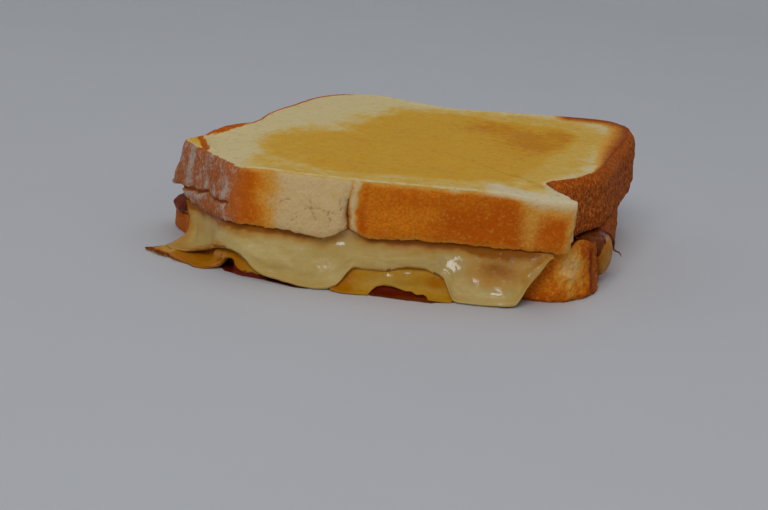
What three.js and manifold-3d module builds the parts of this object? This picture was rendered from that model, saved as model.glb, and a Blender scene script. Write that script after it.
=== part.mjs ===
// A grilled cheese sandwich: two slices of a white tin loaf, one on the other, with melted cheese and
// cooked onion between them. Millimetres, +Z up. The origin is on the surface that the sandwich rests on,
// under the middle of its bounding box. +X points to the flat base of the loaf, -X to its domed top, and
// -Y to the long side where most of the cheese has run out.

import * as THREE from "three";
import { mergeVertices } from "three/addons/utils/BufferGeometryUtils.js";
import Module from "manifold-3d";

const wasm = await Module();
wasm.setup();

// ---- Driving dimensions ----

const TOUCH_GAP = 0.4; // what pieces that lie on each other leave between them
const FRONT = -46; // y of the front side of the slices
const BACK_RISE = Math.tan(THREE.MathUtils.degToRad(2)); // the top slice lies 2 degrees up towards the back

const TOP_FACE = 28; // height of the top slice's upper face at its front side
const TOP_UNDERSIDE = 13.3; // height of its lower face there
const DOME_DROOP = 3; // how far the domed end of the top slice sags
const EAR_DROOP = 1; // how far the torn ear at its front right corner sags
const BASE_DROOP = 1.2; // how much lower its lower face reaches along the loaf's base, behind the flap
const CRUST_ROUND = 0.8; // how far a slice's wall draws in at its edges
const DISH = 0.5; // how far the upper face is pressed in at the middle
const RIM_RISE = 1.2; // height of the curled crust rim at the domed end

const BOTTOM_THIN = 8.2; // thickness of the bottom slice at its front left
const BOTTOM_GAIN = 3.6; // how much thicker it is at the loaf's base
const BOTTOM_SQUASH = 3.2; // how much thinner its domed end is pressed
const CORNER_LIFT = 1.2; // how far its front right corner reaches up to the top slice

const AMBER_OUT = 1.7; // how far the oily lower cheese stands proud of the bottom slice
const AMBER_THICK = 1.1;
const PALE_OUT = 4.0; // the same for the pale upper cheese
const PALE_THICK = 1.6;
const SHY = 3.6; // how much further in both cheeses end along the loaf's base

const EDGE_POINTS = 3; // points of an outline from one landmark to the next
const BED_POINTS = 2; // the same for the hidden bed of onion
const STRAND_SIDES = 8;
const STRAND_STEPS = 3; // rings of a strand from one point of its path to the next
const WALL_LEVELS = [0, 0.12, 0.5, 0.88, 1];
const FACE_REACH = [0.4, 0.68, 0.88]; // how far out the rings of a face lie, 1 being its edge

// ---- Landmarks ----

// The top slice's upper edge, counter-clockwise from its domed end: x, y, and how far the lower edge lies
// from the upper one, dx, dy. The last points of the front side are the torn ear and the tear behind it.
const TOP_EDGE = [
  [-61.3, -11, -2.4, 4.5], [-57.4, -19.0, -1.4, 2.0], [-53.4, -25.6, -0.8, 0.4], [-48.3, -35.4, -1.0, 0.2],
  [-42.6, -44.6, -0.8, 0.2], [-34.8, -48.0, 0, 0], [-24.6, -49.9, 0, 0], [-14.6, -50.6, 0, 1.0],
  [-3, -50.7, 0, 1.6], [14, -50.8, 0, 1.8], [30, -50.8, 0, 1.8], [40.6, -50.2, -1.8, 1.2],
  [40.9, -45.8, 0.4, 2.2], [38.0, -40.0, 4.0, 2.4], [44.9, -28, 0.6, -1.2], [50.4, -19.4, 0.6, -1.0],
  [53.4, -10.8, 0.8, 0], [58.9, 9.2, 0.8, 0], [64.4, 31, 0.8, 0], [65.4, 42, 1.2, 1.0],
  [60.2, 49.2, 0, 1.0], [38, 50, 0, 0.5], [12.9, 47.4, 0, 0.5], [0.6, 51.4, 0, 0.5],
  [-9.7, 56.8, 0, -0.5], [-21.1, 54.9, -1, 0.5], [-29.8, 46, -2, 1.5], [-36.2, 32, -2.4, 2.5],
  [-42.2, 20, -3.2, 4], [-45.6, 7, -7.5, 6.5], [-50.8, 0.6, -9.5, 6.5], [-58.2, -8.2, -7.2, 8.0],
];

// The bottom slice's edge in the same order. Its front side keeps behind the cheese up to the front right
// corner, which is cut off across.
const BOTTOM_EDGE = [
  [-63.6, -1, 0, 0], [-61.8, -8, 0, 0], [-57.6, -13.8, 0.6, -0.4], [-53.5, -20, 0.8, -0.4],
  [-49.5, -28, 0.8, -0.4], [-45, -36.4, 0.6, -0.5], [-38.5, -42.8, 0, -0.6], [-28, -44.6, 0, -0.6],
  [-10, -44.8, 0, -0.6], [12, -44.8, 0, -0.6], [29, -45.2, 0, -0.8], [38, -46.4, 0.6, -0.4],
  [43.6, -42.2, 0.8, -0.6], [47.0, -36.2, 0.9, -2.0], [49.2, -29.5, 1.0, -2.6], [51.2, -20.5, 1.0, -1.5],
  [54.4, -8, 1.2, -0.5], [58.6, 9, 1.6, 0], [61.4, 24, 1.6, 0], [58.6, 37, 0.8, 0],
  [48, 46, 0, 0.4], [30, 47.4, 0, 0.4], [13, 46, 0, 0.4], [2, 48.6, 0, 0.4],
  [-9.5, 54.6, 0, 0.4], [-21, 52.4, -0.4, 0.4], [-30.6, 43.4, -0.4, 0.2], [-38, 30, -0.5, 0.2],
  [-45.5, 17.5, -0.6, 0.2], [-54, 9.5, -0.4, 0.2],
];

// The seams where the loaf's dome has split from its sides: x, y, depth, width, for either slice.
const SEAMS = [
  [-14.9, -50.4, 1.8, 1.3], [6.2, 48.6, 2.6, 3.2], [-14.4, -45, 1.2, 1.5], [5.4, 47.6, 2.0, 3.0],
];

// The lower edge of the pale cheese along the front: x, height, and how far it flares away from the bread.
// A tongue at the left, a round lobe left of the middle and a broad drip at the right reach the surface.
const PALE_HEM = [
  [-56.4, 8.0, 0], [-55, 2.4, 2.6], [-53, 1.5, 6.4], [-50.4, 1.5, 5.6], [-48, 2.0, 3.8], [-45.4, 3.6, 2.0],
  [-42.4, 5.4, 1.0], [-38.6, 4.4, 0.9], [-33.5, 2.2, 1.6], [-27.5, 0.5, 3.8], [-21.5, 0.1, 4.6],
  [-16.5, 0.9, 3.2], [-12.4, 5.0, 1.0], [-5.5, 5.0, 1.0], [2, 6.4, 0.8], [8.4, 5.0, 1.2], [12, 0.3, 5.2],
  [20, 0.1, 6.0], [28.6, 0.2, 4.2], [31.6, 4.6, 1.2], [34.4, 13.5, 0], [36, 13.5, 0],
];

// The same for the oily lower cheese: a crisp skirt at the left, then a band that stands on two feet.
const AMBER_HEM = [
  [-55.6, 6.2, 0], [-54.2, 0.3, 8.0], [-52.6, 0.1, 14.8], [-50, 0.1, 14.2], [-47, 0.1, 13.0],
  [-44, 0.1, 8.6], [-41, 0.1, 5.0], [-38.6, 1.6, 2.6], [-36, 5.2, 0.2], [-30, 6.0, 0], [-19.5, 5.4, 0],
  [-15.6, 0.4, 1.6], [-11, 0.1, 3.2], [-6.5, 0.5, 1.8], [0, 1.7, 1.0], [6, 0.6, 1.6], [10.5, 0.1, 2.0],
  [15, 3.6, 0], [29, 4.4, 0], [31.5, 6.0, 0], [34.4, 13.5, 0], [36, 13.5, 0],
];

// A flap of the lower cheese hangs down the loaf's base on the right: its middle, half width and lower edge.
const FLAP = { y: -15.5, halfWidth: 7.5, hem: 2.4 };

// Onion strands that show, each a path with its thickness: the folded end at the left, the strand that arches
// over the flap with its hooked tip, and the end in the crack over the bottom slice's corner.
const STRANDS = [
  {
    radius: 2.35, taper: 0.72,
    path: [[-45, -15, 10.9], [-54.5, -14.6, 9.3], [-61.4, -10.6, 8.7], [-58.5, -4.5, 9.0], [-47, -1.5, 10.9]],
  },
  {
    radius: 0.85, taper: 0.8,
    path: [[40, -12, 13.2], [47.5, -19, 13.2], [51.8, -21, 13.0], [55.2, -18.6, 12.2], [57.2, -14.4, 9.6],
      [58.2, -11, 6.4], [59.6, -9.4, 4.8], [61.4, -9.6, 4.2]],
  },
  {
    radius: 0.62, taper: 0.8,
    path: [[38, -14, 12.9], [42.6, -24, 12.9], [46.4, -31.2, 12.95], [48.6, -30.4, 12.95]],
  },
];

// ---- Heights ----

/** 0 below `from`, 1 beyond `to`, with a smooth rise between; `from` may be the larger. */
function ramp(from, to, value) {
  const t = THREE.MathUtils.clamp((value - from) / (to - from), 0, 1);
  return t * t * (3 - 2 * t);
}

/** How far the top slice is bent down at (x, y): the sagging dome and the torn ear. */
const sag = (x, y) => DOME_DROOP * ramp(-34, -60, x) + EAR_DROOP * ramp(22, 34, x) * ramp(-30, -48, y);

/** The curled rim of the crust behind the domed end. */
const rimRise = (x, y) => RIM_RISE * Math.exp(-(((x + 50) / 7) ** 2) - (((y - 1) / 7) ** 2));

/** Height of the top slice's upper face; `reach` is 0 at its middle and 1 at its edge. */
const topFace = (x, y, reach = 1) =>
  TOP_FACE + BACK_RISE * (y - FRONT) - sag(x, y) - DISH * (1 - reach ** 3) + rimRise(x, y) * reach ** 8;

/** Height of the top slice's lower face. */
const topUnderside = (x, y) =>
  TOP_UNDERSIDE + 0.2 * ramp(-20, 0, x) + BACK_RISE * (y - FRONT) - DOME_DROOP * ramp(-34, -60, x)
  - BASE_DROOP * ramp(46, 60, x) * ramp(-8, 8, y);

/** Height of the bottom slice's upper face, which is squashed at the dome and lifted at the cut corner. */
const bottomFace = (x, y) =>
  BOTTOM_THIN + BOTTOM_GAIN * ramp(-50, 60, x) - BOTTOM_SQUASH * ramp(-44, -62, x) + 0.02 * (y - FRONT)
  + CORNER_LIFT * Math.exp(-(((x - 45) / 5) ** 2) - (((y + 41) / 6) ** 2));

/** A height between the slices: 0 on the bottom one, 1 under the top one, clear of both by `inset`. */
function between(x, y, share, inset) {
  const low = bottomFace(x, y) + inset;
  const high = topUnderside(x, y) - inset;
  return low + Math.max(0, high - low) * share;
}

/** Low waves that make walls and melted faces uneven, at most 1 either way. */
const waves = (x, y, z) =>
  0.45 * Math.sin(0.31 * x + 0.9 * z + 0.4) + 0.35 * Math.sin(0.37 * y - 0.7 * z + 1.9)
  + 0.2 * Math.sin(0.83 * x - 0.61 * y + 0.5 * z);

// ---- Outlines and shells ----

/** The landmarks as smooth closed curves: upper and lower edge of a slice, and its outward directions. */
function sliceEdge(landmarks, perStretch = EDGE_POINTS) {
  const count = landmarks.length * perStretch;
  const curve = (points) => new THREE.CatmullRomCurve3(
    points.map(([x, y]) => new THREE.Vector3(x, y, 0)), true, "centripetal");
  const sample = (line) => Array.from({ length: count }, (_, i) => line.getPoint(i / count));
  const upper = sample(curve(landmarks));
  const lower = sample(curve(landmarks.map(([x, y, dx, dy]) => [x + dx, y + dy])));
  const outward = upper.map((_, i) => {
    const along = lower[(i + 1) % count].clone().sub(lower[(i + count - 1) % count]).normalize();
    return new THREE.Vector3(along.y, -along.x, 0);
  });
  return { upper, lower, outward, count };
}

/** A closed solid from rings of equal length, from its lower pole to its upper one or round a hem. */
function shell(rings) {
  const count = rings[0].length;
  const middle = (ring) => ring.reduce((sum, p) => sum.add(p), new THREE.Vector3()).divideScalar(count);
  const points = [...rings.flat(), middle(rings[0]), middle(rings.at(-1))];
  const faces = [];
  const firstPole = points.length - 2;
  const lastRing = (rings.length - 1) * count;
  for (let i = 0; i < count; i++) {
    const next = (i + 1) % count;
    faces.push(firstPole, next, i, firstPole + 1, lastRing + i, lastRing + next);
    for (let ring = 0; ring < rings.length - 1; ring++) {
      const a = ring * count + i;
      const b = ring * count + next;
      faces.push(a, b, b + count, a, b + count, a + count);
    }
  }
  const geometry = new THREE.BufferGeometry();
  geometry.setAttribute("position", new THREE.Float32BufferAttribute(points.flatMap((p) => p.toArray()), 3));
  geometry.setIndex(faces);
  return geometry;
}

/** A copy of a point scaled towards the middle of the sandwich, at the height that `height` gives there. */
function drawnIn(point, reach, height) {
  const x = point.x * reach;
  const y = point.y * reach;
  return new THREE.Vector3(x, y, height(x, y, reach));
}

// ---- Bread ----

/** How deep a seam cuts into the wall at (x, y). */
const seamDepth = (x, y) => Math.max(...SEAMS.map(([sx, sy, depth, width]) =>
  depth * Math.exp(-(((x - sx) / width) ** 2) - (((y - sy) / width) ** 2))));

/** One slice: a flat or tilted underside, a crusty wall with rounded edges, and an upper face. */
function slice(landmarks, underside, upperFace) {
  const edge = sliceEdge(landmarks);
  const wall = WALL_LEVELS.map((level) => edge.upper.map((top, i) => {
    const foot = edge.lower[i];
    const x = THREE.MathUtils.lerp(foot.x, top.x, level);
    const y = THREE.MathUtils.lerp(foot.y, top.y, level);
    const low = underside(foot.x, foot.y);
    const z = THREE.MathUtils.lerp(low, upperFace(top.x, top.y, 1), level);
    const drawIn = CRUST_ROUND * Math.abs(2 * level - 1) ** 6 + seamDepth(x, y) + 0.15 * (1 - waves(x, y, z));
    return new THREE.Vector3(x, y, z).addScaledVector(edge.outward[i], -drawIn);
  }));
  const under = FACE_REACH.map((reach) => wall[0].map((p) => drawnIn(p, reach, underside)));
  const face = FACE_REACH.toReversed().map((reach) => wall.at(-1).map((p) => drawnIn(p, reach, upperFace)));
  return shell([...under, ...wall, ...face]);
}

// ---- Fillings ----

/** Values along the front side from a hem table, by the bottom slice's x; smooth between its rows. */
function hemAt(table, x) {
  if (x <= table[0][0] || x >= table.at(-1)[0]) return null;
  const row = table.findIndex(([next]) => next > x);
  const [x0, z0, flare0] = table[row - 1];
  const [x1, z1, flare1] = table[row];
  const t = ramp(x0, x1, x);
  return { hem: THREE.MathUtils.lerp(z0, z1, t), flare: THREE.MathUtils.lerp(flare0, flare1, t) };
}

/** Weights of a hanging curve's top, bend and hem at t from 0 to 1; it drops first and then runs out. */
const sagWeights = (t) => [(1 - t) ** 3, 3 * t * (1 - t), t ** 3];

/**
 * A melted sheet that lies over the bottom slice. Its upper face runs out from the middle, turns down outside
 * the bread to the hem that `hang` gives at each point of the edge, goes round the hem, and comes back
 * underneath. `extra` grows it on its lower and inner side, to cut room for it.
 */
function meltedSheet({ over, under, out, thick, slump, hang }, extra = 0) {
  const edge = sliceEdge(BOTTOM_EDGE);
  const rows = edge.lower.map((start, i) => {
    const normal = edge.outward[i];
    const at = (offset) => start.clone().addScaledVector(normal, offset);
    const { hem, flare, inset } = hang(start.x, start.y);
    const lip = at(out - inset);
    const high = over(lip.x, lip.y);
    const low = under(lip.x, lip.y);
    const foot = Math.min(hem ?? low, low);
    const drop = high - foot;
    const turn = Math.min(0.7, 0.35 * drop);
    const thinning = 1 - 0.5 * ramp(4, 10, flare);
    const hemHeight = Math.min(0.5 * thick, 0.3 * drop) * thinning;
    const bendHeight = Math.min(thick, 0.5 * drop) * thinning;
    const bend = slump * flare;
    const place = (offset, z) => {
      const p = at(offset - inset);
      const floor = offset - inset < TOUCH_GAP ? under(p.x, p.y) - extra : 0;
      return p.setZ(Math.min(Math.max(z, floor), over(p.x, p.y)));
    };
    const outer = [0, 0.3, 0.62, 1].map((t) => {
      const [a, b, c] = sagWeights(t);
      const belly = 0.5 * Math.sin(Math.PI * t) * ramp(1, 6, drop) * ramp(6, 3, flare);
      const z = a * (high - turn) + b * (foot + bendHeight + belly) + c * (foot + hemHeight);
      return place(out + b * bend + c * flare + belly * 0.4, z);
    });
    const inner = [1, 0.5, 0].map((t) => {
      const [a, b, c] = sagWeights(t);
      const offset = out - thick - extra - 0.3 * (1 - t) + b * bend + c * flare;
      return place(offset, a * low + (b + c) * foot - extra);
    });
    return {
      lip: place(out - 1.3, high),
      shoulder: place(out - 0.45, high - 0.3 * turn),
      outer,
      hemTurn: place(out + flare - 0.4 * thick, foot - extra),
      inner,
    };
  });
  const ring = (pick) => rows.map(pick);
  const faceRings = (height) => FACE_REACH.map((reach) => ring((row) => drawnIn(row.lip, reach, height)));
  return shell([
    ...faceRings(over), ring((row) => row.lip), ring((row) => row.shoulder),
    ...[0, 1, 2, 3].map((k) => ring((row) => row.outer[k])),
    ring((row) => row.hemTurn),
    ...[0, 1, 2].map((k) => ring((row) => row.inner[k])),
    ...faceRings((x, y) => under(x, y) - extra).reverse(),
  ]);
}

/** How far a sheet ends inside the edge: it leaves the front right corner free, where the slices touch. */
const cornerInset = (x, y, depth) => depth * ramp(36, 41, x) * ramp(-24, -30, y);

/** The pale cheese: hem and flare along the front, a short lip elsewhere. */
function paleHang(x, y) {
  const front = y < -12 ? hemAt(PALE_HEM, x) : null;
  if (front) return { ...front, inset: 0 };
  const shy = SHY * Math.max(ramp(44, 50, x), ramp(-48, -56, x));
  return { hem: undefined, flare: 0, inset: 3.4 + waves(x, y, 4) + shy + cornerInset(x, y, 8) };
}

/** The oily cheese: its skirt and feet along the front, and the flap at the loaf's base. */
function amberHang(x, y) {
  const front = y < -12 ? hemAt(AMBER_HEM, x) : null;
  if (front) return { ...front, inset: 0 };
  const inset = 1.6 + 0.8 * waves(y, x, 2) + SHY * ramp(44, 50, x) + cornerInset(x, y, 10);
  const across = Math.abs(y - FLAP.y) / FLAP.halfWidth;
  if (x < 45 || across > 1.6) return { hem: undefined, flare: 0, inset };
  const rise = ramp(0.25, 1, across);
  const hem = across < 1 ? THREE.MathUtils.lerp(FLAP.hem, 12.4, rise) : undefined;
  return { hem, flare: 0.6 * (1 - rise), inset: inset * ramp(1, 1.6, across) };
}

/** A strand of onion: an oval tube along a path, thinner at both ends. */
function strand({ path, radius, taper }, extra = 0) {
  const curve = new THREE.CatmullRomCurve3(path.map((p) => new THREE.Vector3(...p)), false, "centripetal");
  const steps = (path.length - 1) * STRAND_STEPS;
  const frames = curve.computeFrenetFrames(steps);
  const rings = Array.from({ length: steps + 1 }, (_, i) => {
    const t = i / steps;
    const size = radius * (1 - taper * Math.abs(2 * t - 1) ** 1.6) + extra;
    const end = (i === steps) - (i === 0);
    return Array.from({ length: STRAND_SIDES }, (_, k) => {
      const angle = (k / STRAND_SIDES) * Math.PI * 2;
      return curve.getPointAt(t).addScaledVector(frames.tangents[i], end * extra)
        .addScaledVector(frames.normals[i], size * Math.cos(angle))
        .addScaledVector(frames.binormals[i], size * Math.sin(angle));
    });
  });
  return shell(rings);
}

/** The thin bed of onion between the two cheeses, well inside their edges. */
function onionBed() {
  const edge = sliceEdge(BOTTOM_EDGE, BED_POINTS);
  const height = (share) => (x, y) => between(x, y, share, TOUCH_GAP);
  const rim = (share) => edge.lower.map((foot, i) => {
    const p = foot.clone().addScaledVector(edge.outward[i], -7.5 - cornerInset(foot.x, foot.y, 8));
    return p.setZ(height(share)(p.x, p.y));
  });
  const face = (share) => FACE_REACH.slice(0, 2).map(
    (reach) => rim(share).map((p) => drawnIn(p, reach, height(share))));
  return shell([...face(0.58), rim(0.56), rim(0.44), ...face(0.42).reverse()]);
}

// ---- Joining and cutting ----

/** A geometry as a Manifold solid, with its faces turned outwards. */
function solid(geometry) {
  const merged = mergeVertices(geometry, 1e-4);
  const build = (index) => new wasm.Manifold(new wasm.Mesh({
    numProp: 3,
    vertProperties: Float32Array.from(merged.attributes.position.array),
    triVerts: Uint32Array.from(index),
  }));
  const made = build(merged.index.array);
  if (made.volume() > 0) return made;
  const turned = Array.from(merged.index.array);
  for (let i = 0; i < turned.length; i += 3) [turned[i], turned[i + 1]] = [turned[i + 1], turned[i]];
  return build(turned);
}

/** The largest single body of a solid, as a geometry. */
function largestBody(whole) {
  const bodies = whole.decompose().sort((a, b) => b.volume() - a.volume());
  const mesh = bodies[0].getMesh();
  const geometry = new THREE.BufferGeometry();
  geometry.setAttribute("position", new THREE.BufferAttribute(mesh.vertProperties, 3));
  geometry.setIndex(new THREE.BufferAttribute(mesh.triVerts, 1));
  return geometry;
}

// ---- The sandwich ----

const sandwich = new THREE.Group();

function addPiece(name, geometry, color, roughness) {
  geometry.computeVertexNormals();
  const mesh = new THREE.Mesh(geometry, new THREE.MeshStandardMaterial({ color, roughness, metalness: 0 }));
  mesh.name = name;
  sandwich.add(mesh);
}

const onionCuts = STRANDS.map((one) => solid(strand(one, TOUCH_GAP)));
const clearOfOnion = (whole) => onionCuts.reduce((left, cut) => left.subtract(cut), whole);

addPiece("bread_bottom", largestBody(solid(slice(BOTTOM_EDGE, () => 0, bottomFace))), 0xb9772f, 0.85);
addPiece("bread_top", largestBody(solid(slice(TOP_EDGE, topUnderside, topFace))), 0xc08a3c, 0.8);

const layer = (share) => (x, y) => between(x, y, share, TOUCH_GAP);
const pale = {
  over: layer(0.95), under: layer(0.7), out: PALE_OUT, thick: PALE_THICK, slump: 0.25, hang: paleHang,
};
const amber = {
  over: layer(0.28), under: layer(0), out: AMBER_OUT, thick: AMBER_THICK, slump: 0.04, hang: amberHang,
};
const amberUnderPale = solid(meltedSheet(amber)).subtract(solid(meltedSheet(pale, TOUCH_GAP)));
addPiece("cheese_amber", largestBody(clearOfOnion(amberUnderPale)), 0xc8862a, 0.3);
addPiece("cheese_pale", largestBody(clearOfOnion(solid(meltedSheet(pale)))), 0xdcc489, 0.25);

const onion = STRANDS.reduce((joined, one) => joined.add(solid(strand(one))), solid(onionBed()));
addPiece("onion", largestBody(onion), 0x5a2616, 0.35);

export default sandwich;
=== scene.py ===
"""A grilled cheese sandwich: two toasted slices of a white tin loaf with melted cheese and cooked onion.

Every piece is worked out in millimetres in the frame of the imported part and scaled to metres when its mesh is
made: +X points to the flat base of the loaf, -X to its domed top, -Y to the long side where the cheese ran out.
"""

from __future__ import annotations

import logging
import math
from dataclasses import dataclass, field
from enum import Enum

import bpy
import numpy as np
from mathutils import Matrix, Vector

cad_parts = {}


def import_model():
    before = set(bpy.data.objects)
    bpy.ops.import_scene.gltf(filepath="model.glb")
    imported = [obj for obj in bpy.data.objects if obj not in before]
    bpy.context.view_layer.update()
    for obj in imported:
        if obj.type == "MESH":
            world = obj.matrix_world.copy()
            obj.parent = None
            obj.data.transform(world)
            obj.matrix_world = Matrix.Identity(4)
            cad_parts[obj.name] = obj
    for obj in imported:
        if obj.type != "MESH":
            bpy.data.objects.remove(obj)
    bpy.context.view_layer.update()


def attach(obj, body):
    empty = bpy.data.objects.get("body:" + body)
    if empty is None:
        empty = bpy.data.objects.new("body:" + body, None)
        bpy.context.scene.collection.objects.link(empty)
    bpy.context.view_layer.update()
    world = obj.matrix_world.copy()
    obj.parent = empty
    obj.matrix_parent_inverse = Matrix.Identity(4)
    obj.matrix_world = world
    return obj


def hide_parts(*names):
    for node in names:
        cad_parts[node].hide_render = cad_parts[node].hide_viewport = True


LOG = logging.getLogger("sandwich")
MM = 0.001
FAR = 9.0  # any distance beyond the reach of a crack or a crease, in millimetres
Array = np.ndarray
Masks = dict[str, Array]
Colour = tuple[float, float, float]
Object, Material = bpy.types.Object, bpy.types.Material
Tree, Node, Socket = bpy.types.NodeTree, bpy.types.Node, bpy.types.NodeSocket
NUMBER, COLOUR = "NodeSocketFloat", "NodeSocketColor"


class Slot(Enum):
    """Names of the material slots that the pieces carry."""

    TOASTED_BREAD = "toasted_bread"
    TOASTED_CRUST = "toasted_crust"
    PALE_CHEESE = "pale_cheese"
    AMBER_CHEESE = "amber_cheese"
    COOKED_ONION = "cooked_onion"


# ---- Sums on whole arrays ----


def ramp(start: float, end: float, value: Array) -> Array:
    """Rises smoothly from 0 at start to 1 at end; start may be the larger."""
    t = np.clip((np.asarray(value, float) - start) / (end - start), 0.0, 1.0)
    return t * t * (3.0 - 2.0 * t)


def bell(value: Array, centre: float, width: float) -> Array:
    """A bell curve of height 1 at centre that has fallen to 0.37 at one width from it."""
    return np.exp(-(((value - centre) / width) ** 2))


def mix(a: Array, b: Array, share: Array) -> Array:
    """a where share is 0 and b where it is 1."""
    return a + (b - a) * share


def held(value: Array, most: float = 1.0) -> Array:
    """The value, held between 0 and most."""
    return np.clip(value, 0.0, most)


def mound(a: Array, b: Array, middle_a: float, middle_b: float, width_a: float, width_b: float) -> Array:
    """A bell curve in two directions, a and b, of height 1 at its middle."""
    return bell(a, middle_a, width_a) * bell(b, middle_b, width_b)


def unit(vectors: Array) -> Array:
    """The same directions with length 1."""
    return vectors / np.linalg.norm(vectors, axis=-1, keepdims=True)


def run_length(line: Array) -> Array:
    """The length along a polyline up to each of its points."""
    return np.concatenate([[0], np.cumsum(np.linalg.norm(np.diff(line, axis=0), axis=1))])


def table(*rows: list[float]) -> Array:
    """A dataclass field that starts as an array of these rows."""
    return field(default_factory=lambda: np.array(rows))


def lattice_noise(points: Array, size: float, seed: int) -> Array:
    """Smooth value noise: random heights at the corners of a cubic lattice, blended between them.

    Args:
        points: Places, of shape (..., 3), in millimetres.
        size: Edge of a lattice cell, in millimetres.
        seed: Chooses the heights.

    Returns:
        One value per place, from -1 to 1.
    """
    scaled = np.asarray(points, float) / size + 1000.0 + 17.0 * seed
    corner = np.floor(scaled).astype(np.int64)
    t = scaled - corner
    t = t * t * t * (t * (6.0 * t - 15.0) + 10.0)
    total = np.zeros(scaled.shape[:-1])
    for dx in (0, 1):
        for dy in (0, 1):
            for dz in (0, 1):
                key = (corner[..., 0] + dx) * 73856093 ^ (corner[..., 1] + dy) * 19349663
                key = (key ^ (corner[..., 2] + dz) * 83492791 ^ seed * 2654435761) & 0x7FFFFFFF
                key = (key ^ (key >> 13)) * 1274126177 & 0x7FFFFFFF
                key = (key ^ (key >> 16)) & 0xFFFF
                weight = (
                    np.where(dx, t[..., 0], 1 - t[..., 0])
                    * np.where(dy, t[..., 1], 1 - t[..., 1])
                    * np.where(dz, t[..., 2], 1 - t[..., 2])
                )
                total += weight * (key / 32767.5 - 1.0)
    return total


def fractal(points: Array, size: float, octaves: int, seed: int) -> Array:
    """Lattice noise added to itself at half the size and 0.55 the height, octaves times.

    Args:
        points: Places, of shape (..., 3), in millimetres.
        size: Edge of the coarsest lattice's cells, in millimetres.
        octaves: How many lattices.
        seed: Chooses the heights.

    Returns:
        One value per place, mostly from -1 to 1.
    """
    total = np.zeros(np.shape(points)[:-1])
    height = 1.0
    for octave in range(octaves):
        total += height * lattice_noise(points, size * 0.5**octave, seed + octave)
        height *= 0.55
    return total / 1.4


def line_distance(points: Array, line: Array) -> Array:
    """The distance of each place from a polyline, the least over its stretches.

    Args:
        points: Places, of shape (n, d).
        line: The polyline's points, of shape (m, d).

    Returns:
        n distances.
    """
    best = np.full(len(points), 1e9)
    for start, end in zip(line[:-1], line[1:]):
        along = end - start
        t = np.clip((points - start) @ along / (along @ along), 0.0, 1.0)
        best = np.minimum(best, np.linalg.norm(points - (start + t[:, None] * along), axis=1))
    return best


def depth_inside(points: Array, loop: Array) -> Array:
    """How far each place lies inside a closed loop, negative outside it.

    Args:
        points: Places in the plane, of shape (n, 2).
        loop: The loop's corners, of shape (m, 2).

    Returns:
        n distances from the loop, with the sign of the even-odd rule.
    """
    closed = np.vstack([loop, loop[:1]])
    inside = np.zeros(len(points), bool)
    for (x0, y0), (x1, y1) in zip(closed[:-1], closed[1:]):
        crosses = (y0 > points[:, 1]) != (y1 > points[:, 1])
        at = (x1 - x0) * (points[:, 1] - y0) / (y1 - y0 + 1e-12) + x0
        inside ^= crosses & (points[:, 0] < at)
    return np.where(inside, 1.0, -1.0) * line_distance(points, closed)


def off_lines(places: Array, near: Array, axes: tuple[int, int], lines: tuple, shake: tuple) -> Array:
    """Distance from the nearest of some lines drawn in a plane, made ragged by shaking the places with noise.

    Args:
        places: Places, of shape (..., 3), in millimetres.
        near: Which of them to measure.
        axes: The plane's two axes.
        lines: The polylines, each of shape (m, 2).
        shake: The noise's size, height and seed.

    Returns:
        One distance per place, FAR where it isn't near.
    """
    size, height, seed = shake
    there = places[near]
    bent = np.stack([lattice_noise(there, size, seed + k) for k in range(2)], axis=1)
    flat = there[:, list(axes)] + height * bent
    found = np.full(places.shape[:-1], FAR)
    found[near] = np.minimum.reduce([line_distance(flat, np.array(line)) for line in lines])
    return found


def closed_curve(points: Array, station: Array) -> Array:
    """A closed centripetal Catmull-Rom curve: cubics whose slopes allow for uneven steps between the points.

    Args:
        points: The curve's points, of shape (m, 2).
        station: Where to sample it, counted in points from the first.

    Returns:
        Places on the curve, of shape (n, 2).
    """
    count = len(points)
    first = np.floor(station).astype(int)
    t = (station - first)[:, None]
    p0, p1, p2, p3 = (points[(first + k) % count] for k in (-1, 0, 1, 2))
    d0, d1, d2 = (np.sqrt(np.linalg.norm(b - a, axis=1))[:, None] for a, b in ((p0, p1), (p1, p2), (p2, p3)))
    m1 = ((p1 - p0) / d0 - (p2 - p0) / (d0 + d1) + (p2 - p1) / d1) * d1
    m2 = ((p2 - p1) / d1 - (p3 - p1) / (d1 + d2) + (p3 - p2) / d2) * d1
    return p1 + m1 * t + (3 * (p2 - p1) - 2 * m1 - m2) * t**2 + (2 * (p1 - p2) + m1 + m2) * t**3


def open_curve(points: Array, count: int) -> Array:
    """An open Catmull-Rom curve through points, sampled at even steps of its length.

    Args:
        points: The curve's points, of shape (m, 3).
        count: How many samples.

    Returns:
        Places on the curve, of shape (count, 3).
    """
    padded = np.vstack([2 * points[0] - points[1], points, 2 * points[-1] - points[-2]])
    station = np.linspace(0, len(points) - 1, 40 * len(points))
    k = np.minimum(station.astype(int), len(points) - 2)
    t = (station - k)[:, None]
    p0, p1, p2, p3 = (padded[k + j] for j in range(4))
    line = 0.5 * (2 * p1 + (p2 - p0) * t + (2 * p0 - 5 * p1 + 4 * p2 - p3) * t**2 + (3 * p1 - p0 - 3 * p2 + p3) * t**3)
    run = run_length(line)
    even = np.linspace(0, run[-1], count)
    return np.stack([np.interp(even, run, line[:, axis]) for axis in range(3)], axis=1)


# ---- Meshes ----


def in_scene(name: str, data: bpy.types.ID) -> Object:
    """Puts an object into the scene, at the origin.

    Args:
        name: The object's name.
        data: Its mesh, light or camera.

    Returns:
        The object.
    """
    made = bpy.data.objects.new(name, data)
    bpy.context.scene.collection.objects.link(made)
    return made


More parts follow.
